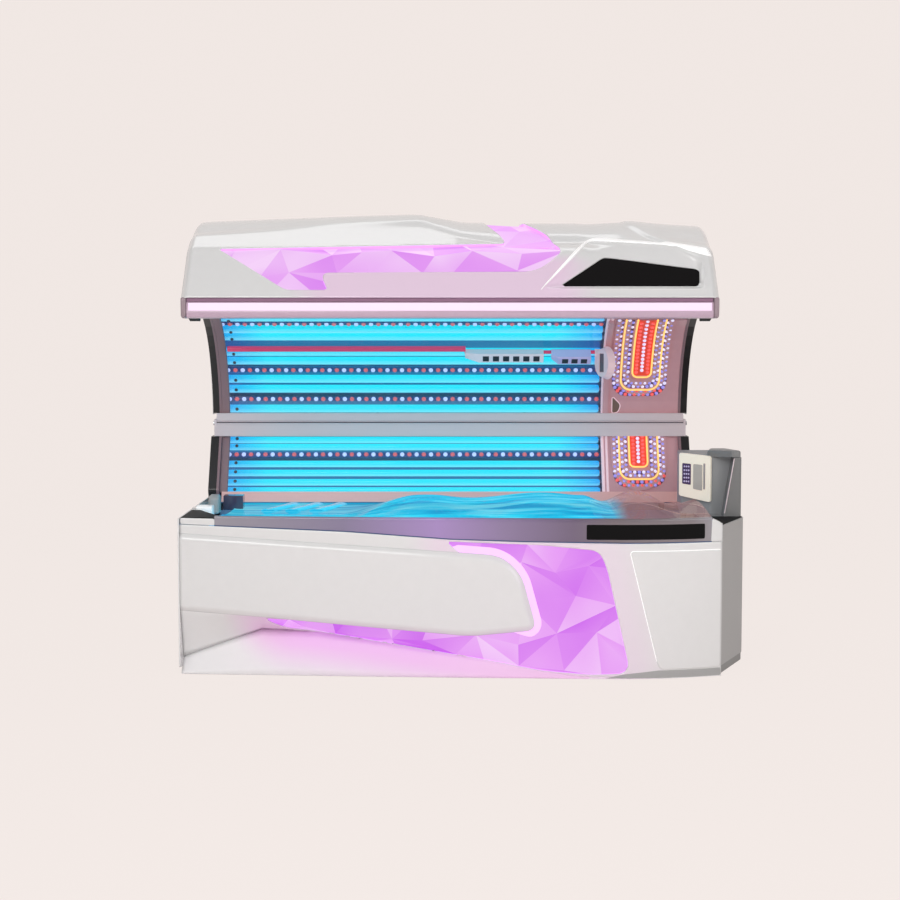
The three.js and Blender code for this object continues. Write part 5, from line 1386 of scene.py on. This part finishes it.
def buildBench():
    # the sheet, its skirt with a rounded top edge, the bare strip behind it and the seam at its foot
    x = np.linspace(bench["left"], bench["right"], 300)
    share = np.linspace(0, 1, 60)
    sheet = benchSpot(x[:, None], share[None])
    addPiece("bench_sheet", sheet, gridQuads(300, 60)[:, ::-1], "base", "clear_acrylic", benchFinish(),
             ("bench_acrylic",))
    turn = np.linspace(0, math.pi / 2, 6)
    foot, top = coverTop(x) + 1, bench["top"] - bench["skirtRise"]
    rows = [(0 * x, foot + (top - foot) * k) for k in np.linspace(0, 1, 9)]
    rows += [(bench["skirtDepth"] * (1 - math.cos(a)) + 0 * x, top + bench["skirtRise"] * math.sin(a) + 0 * x)
             for a in turn[1:]]
    away, height = np.stack([row[0] for row in rows], -1), np.stack([row[1] for row in rows], -1)
    skirt = skirtPlace(x[:, None], height, away)
    addPiece("bench_skirt", skirt, gridQuads(300, len(rows))[:, ::-1], "base", "clear_acrylic", smokeFinish())
    strip = roundOutline(bench["strip"], 3)
    patchPiece("bench_black_strip", skirtPlace, strip, [(-2, 1), (0, -0.6), (2, -1)], "base", "black_gloss",
               deckBlack, ("bench_name_strip",), 24)
    line = np.stack((x, frontPlan(x) + 1, foot), -1)
    seam = lightLine(line, (0.0, -1.0, 0.0), 2.2, 1.6)
    addPiece("bench_skirt_seam", *seam, "base", "dark_plastic",
             solidFinish("navy skirt seal", "#2c4a78", 0.3, grain=10))


def buildBenchFittings():
    # three slanted grips, painted highlights along edges at the head and the rail along the rear
    # the grips' cyan colour and glow are painted light from the lamps below
    lit = solidFinish("acrylic grip with painted lamp glow", "#39c4e4", 0.15, coat=0.5, grain=20, glow=("#2fc4ea", 0.4))
    grips = []
    for left in bench["grips"]:
        gridU, gridS = np.meshgrid(np.linspace(0, 1, 9), np.linspace(*bench["gripSpan"], 13), indexing="ij")
        lean = bench["gripLean"] * (gridS - bench["gripSpan"][0]) / np.ptp(bench["gripSpan"])
        rise = bench["gripRise"] * np.sin(math.pi * gridU) ** 0.5
        points = benchSpot(left + bench["gripWidth"] * gridU + lean, gridS, rise)
        grips.append((points, gridQuads(9, 13)[:, ::-1]))
    addPiece("bench_grips", *joinGrids(*grips), "base", "clear_acrylic", lit)
    rays = []
    for (x0, s0), (x1, s1) in bench["rays"]:
        line = np.stack(benchLine(np.linspace(x0, x1, 40), np.linspace(s0, s1, 40), 2), -1)
        rays.append(lightLine(line, (0.0, 0.0, 1.0), 2.4, 0.8))
    addPiece("bench_head_painted_highlights", *joinGrids(*rays), "base", "clear_acrylic",
             solidFinish("acrylic edge with painted highlights", "#cdaaa6", 0.15, coat=0.5, grain=20,
                         glow=("#d0aaa6", 0.14)))
    rail = np.array([sideSpot(z, away) for z, away in ((608, -27), (652, -27), (652, -33), (608, -33))])
    # the rail's glow is painted light
    pink = solidFinish("pink-grey foot rail", "#d8aaa6", 0.3, grain=10, glow=("#d09a98", 0.2))
    barPiece("side_foot_rail", rail, (-1034, 1040), 1, "base", "face_plastic", pink)


leftEnd = {
    "deck": [(-1090, 48), (-950, 38), (-950, 130), (-1052, 345), (-1090, 345)], "deckZ": (628, 642),
    "block": [(350, 606), (350, 652), (362, 657), (412, 657), (420, 650), (420, 606)],
    "post": [(560, 600), (560, 668), (580, 682), (625, 682), (640, 672), (640, 600)],
    "dark_box": [(690, 604), (690, 668), (760, 668), (760, 604)],
}


def buildLeftEnd():
    # a black deck with three rounded bars behind it
    low, high = leftEnd["deckZ"]
    patchPiece("left_deck", toRow, roundOutline(leftEnd["deck"], 8),
               [(0, low), (0, high - 3), (1, high - 0.8), (3, high)], "base", "black_gloss", deckBlack,
               rings=8)
    plum = solidFinish("glossy plum ABS", "#4a4256", 0.12, coat=0.5, grain=30)
    for word, radius, ends, endRadius, slotName, finish in (
            # the block's white glows a little: painted light
            ("block", 5, (-1072, -1004), 4, "white_shell", paintedHighlightWhite),
            ("post", 8, (-1050, -1003), 12, "grey_shell", None),
            ("dark_box", 3, (-1001, -914), 3, "dark_plastic", plum)):
        section = roundOutline(leftEnd[word], radius, 4)
        barPiece("left_" + word, section, ends, endRadius, "base", slotName, finish)


buildBench()
buildBenchFittings()
buildLeftEnd()
print("bench built")

# Air duct, its two nozzles and the window of the round face nozzle
duct = {"angle": 42.4, "arc": 521, "radius": 13, "left": -1000, "right": 70, "slim": 8, "end": 655}
window = {"angle": 41.2, "arc": 440, "x": 689, "lean": 24, "half": 20.0, "rise": 41.0, "depth": (-12.5, -8)}
nozzles = {
    "axis": (887.5, 1297.7), "inward": 220.2, "hub": 13,
    "left": {"span": (68, 420), "taper": 60, "reach": 46, "half": 25, "tilt": 0, "openings": 6,
             "color": "#f3dde2"},
    "right": {"span": (455, 632), "taper": 30, "reach": 50, "half": 27, "tilt": 14, "openings": 3,
              "color": "#cdb9e2"},
    "width": 28, "mouth": "#31262c",
}


def nozzleSpot(shape, u, v):
    # a point out from the duct's axis and across it, turned the way the nozzle points
    turn = np.radians(nozzles["inward"] + shape["tilt"])
    y, z = nozzles["axis"]
    return np.stack((y + u * np.cos(turn) - v * np.sin(turn), z + u * np.sin(turn) + v * np.cos(turn)), -1)


def nozzleSection(shape, part):
    # round about the duct, then opening to a flat mouth
    back = np.linspace(math.pi / 2, 1.5 * math.pi, 9)
    reach, half = shape["reach"] * part, shape["half"] * part
    u = np.concatenate((nozzles["hub"] * np.cos(back), [reach - 4, reach, reach, reach - 4]))
    v = np.concatenate((nozzles["hub"] * np.sin(back), [-half, -half + 4, half - 4, half]))
    return nozzleSpot(shape, u, v)


def buildNozzle(word):
    # sections set along the duct and closed at both ends, with a row of dark mouths
    shape = nozzles[word]
    low, high = shape["span"]
    stations = [(low, 0.55), (low + 2, 0.6), (low + shape["taper"], 1), (high - 3, 1), (high, 0.94)]
    x, parts = np.array(stations, float).T
    rings = np.stack([nozzleSection(shape, part) for part in parts])
    middle = rings[[0, -1]].mean(1, keepdims=True) + 0 * rings[[0, -1]]
    rings, x = np.concatenate((middle[:1], rings, middle[1:])), np.concatenate((x[:1], x, x[-1:]))
    faces = gridQuads(len(x), rings.shape[1], loopColumns=True)
    # a faint glow in the nozzle's own colour: painted light
    skin = solidFinish("moulded pale PMMA nozzle " + word, shape["color"], 0.22, coat=0.4, grain=30,
                       glow=(shape["color"], 0.12))
    points = toRow(x[:, None], rings[..., 0], rings[..., 1])
    addPiece("air_nozzle_%s_body" % word, points, faces, "nozzle_" + word, "face_plastic", skin,
             ("air_nozzle_" + word,), weld=True)
    u = np.array([shape["reach"] - 6, shape["reach"] + 0.8, shape["reach"] + 0.8, shape["reach"] - 6])
    v = np.array([-1, -1, 1, 1]) * shape["half"] * 0.6
    mouth = nozzleSpot(shape, u, v)
    pitch = (high - low - shape["taper"] - 20) / shape["openings"]
    first = low + shape["taper"] + 10 + pitch / 2 - nozzles["width"] / 2
    bars = [sweepBar(mouth, roundEnds(first + pitch * k, first + pitch * k + nozzles["width"], 1))
            for k in range(shape["openings"])]
    addPiece("air_nozzle_%s_mouths" % word, *joinGrids(*bars), "nozzle_" + word, "dark_plastic",
             solidFinish("dark nozzle throat " + word, nozzles["mouth"], 0.5, grain=4), weld=True)


def tubeSection(y, z, radius):
    # a circle about an axis along the bed
    turn = circle(20)
    return np.stack((y + radius * np.cos(turn), z + radius * np.sin(turn)), -1)


def buildDuct():
    # a wide tube that goes on as a slim one through the nozzles
    tube = tubeSection(*archSpot(duct["angle"], duct["arc"]), duct["radius"])
    slim = tubeSection(*nozzles["axis"], duct["slim"])
    parts = joinGrids(sweepBar(tube, roundEnds(duct["left"], duct["right"], 3)),
                      sweepBar(slim, roundEnds(duct["right"] - 4, duct["end"], 1)))
    addPiece("air_duct_tube", *parts, "canopy", "duct_red", stands=("air_duct",), weld=True)
    # the face nozzle's window: a dark plate let into the slot of the turned disc
    y, z = archSpot(window["angle"], window["arc"])
    lean = math.radians(window["lean"])
    v, w = np.array([-1, 1, 1, -1]) * window["half"], np.array([-1, -1, 1, 1]) * window["rise"]
    points = np.stack([toRow(window["x"] + u * math.cos(lean) - v * math.sin(lean),
                             y + u * math.sin(lean) + v * math.cos(lean), z + w) for u in window["depth"]])
    faces = np.concatenate((gridQuads(2, 4, loopColumns=True), [[0, 3, 2, 1], [4, 5, 6, 7]]))
    addPiece("face_nozzle_window", points, faces, "canopy", "dark_plastic",
             solidFinish("brown nozzle window", "#7d6264", 0.3, grain=6))


buildDuct()
buildNozzle("left")
buildNozzle("right")
print("duct and nozzles built")

# Console: a hood open to the front, its leaning right wall, the pod's black top and the panel's keys
console = {
    "corner": (988, 492), "turn": -34.2, "face": -12.4,
    "body": [(994, 500), (1109, 421), (1200, 434), (1200, 752), (1010, 752)], "bodyZ": (612.5, 866),
    "cap": [(1096, 436), (1190, 348), (1226, 353), (1226, 752), (1152, 752)], "capZ": (864, 892),
    "wall": [(1198, 351), (1229, 354), (1229, 750), (1198, 750)], "wallZ": (612.5, 862),
    "wallX": (1198, 1229), "lean": 0.17, "capFront": 350, "capFall": 0.045,
    "pod": [(1103, 44), (1231, 334), (1231, 352), (1103, 352)],
    "keysX": (28, 38, 48), "keysZ": (752, 768, 784, 800, 816), "keyRadius": 4.4,
    "scaleX": 121, "scaleZ": (722, 832),
}


def panelSpot(x, z, proud):
    # a point on the turned panel, given along the panel and up, with the panel's own outward direction
    turn = math.radians(console["turn"])
    away = console["face"] - proud
    x, z = np.broadcast_arrays(np.asarray(x, float), np.asarray(z, float))
    spots = np.stack((console["corner"][0] + x * math.cos(turn) - away * math.sin(turn),
                      console["corner"][1] + x * math.sin(turn) + away * math.cos(turn), z), -1)
    return spots, np.broadcast_to((math.sin(turn), -math.cos(turn), 0.0), spots.shape)


def wallPlace(x, y, z):
    # the inner face leans in towards its foot
    inner, outer = console["wallX"]
    share = np.clip((outer - x) / (outer - inner), 0, 1)
    return toRow(x - (console["wallZ"][1] - z) * console["lean"] * share, y, z)


def capPlace(x, y, z):
    # the top falls to the back
    return toRow(x, y, z - (y - console["capFront"]) * console["capFall"])


def buildConsole():
    # rounded outlines raised from their foot to an eased top
    shade = solidFinish("shaded grey ABS", "#989a9c", 0.45, grain=3, bump=0.04)
    low, high = console["bodyZ"]
    patchPiece("console_hood_body", toRow, roundOutline(console["body"], 5),
               [(0, low), (0, high - 4), (1, high - 1), (4, high)], "base", "hood_grey", shade,
               ("console_hood",))
    low, high = console["capZ"]
    patchPiece("console_hood_cap", capPlace, roundOutline(console["cap"], 9),
               [(14, low), (0, low), (0, high - 9), (2.6, high - 2.6), (9, high)], "base", "hood_grey")
    low, high = console["wallZ"]
    patchPiece("console_hood_wall", wallPlace, roundOutline(console["wall"], 5),
               [(0, z) for z in np.linspace(low, high, 7)], "base", "hood_grey")
    up = np.linspace(low + 14, high - 4, 12)
    line = np.stack((1198.5 - (high - up) * console["lean"], 349.5 + 0 * up, up), -1)
    rod = lightLine(line, (0.0, -1.0, 0.0), 2.6, 2)
    addPiece("console_hood_edge", *rod, "base", "hood_grey", finishes["aluminium"])
    patchPiece("pod_top_plate", toRow, roundOutline(console["pod"], 4), [(0, 611), (0, 613), (0.8, 613.6)],
               "base", "dark_plastic", deckBlack)
    keysX, keysZ = np.meshgrid(console["keysX"], console["keysZ"])
    keys = domes(*panelSpot(keysX.ravel(), keysZ.ravel(), 0.6), console["keyRadius"])
    addPiece("console_keys", *keys, "base", "keypad",
             solidFinish("lavender membrane keys", "#d9cdf0", 0.4, grain=2), weld=True)
    bar = lightLine(*panelSpot(console["scaleX"], np.linspace(*console["scaleZ"], 12), 0.4), 4.5, 0.8)
    addPiece("console_scale", *bar, "base", "display_glass",
             solidFinish("grey scale window", "#a29c9c", 0.3, grain=4))


buildConsole()
print("console built")
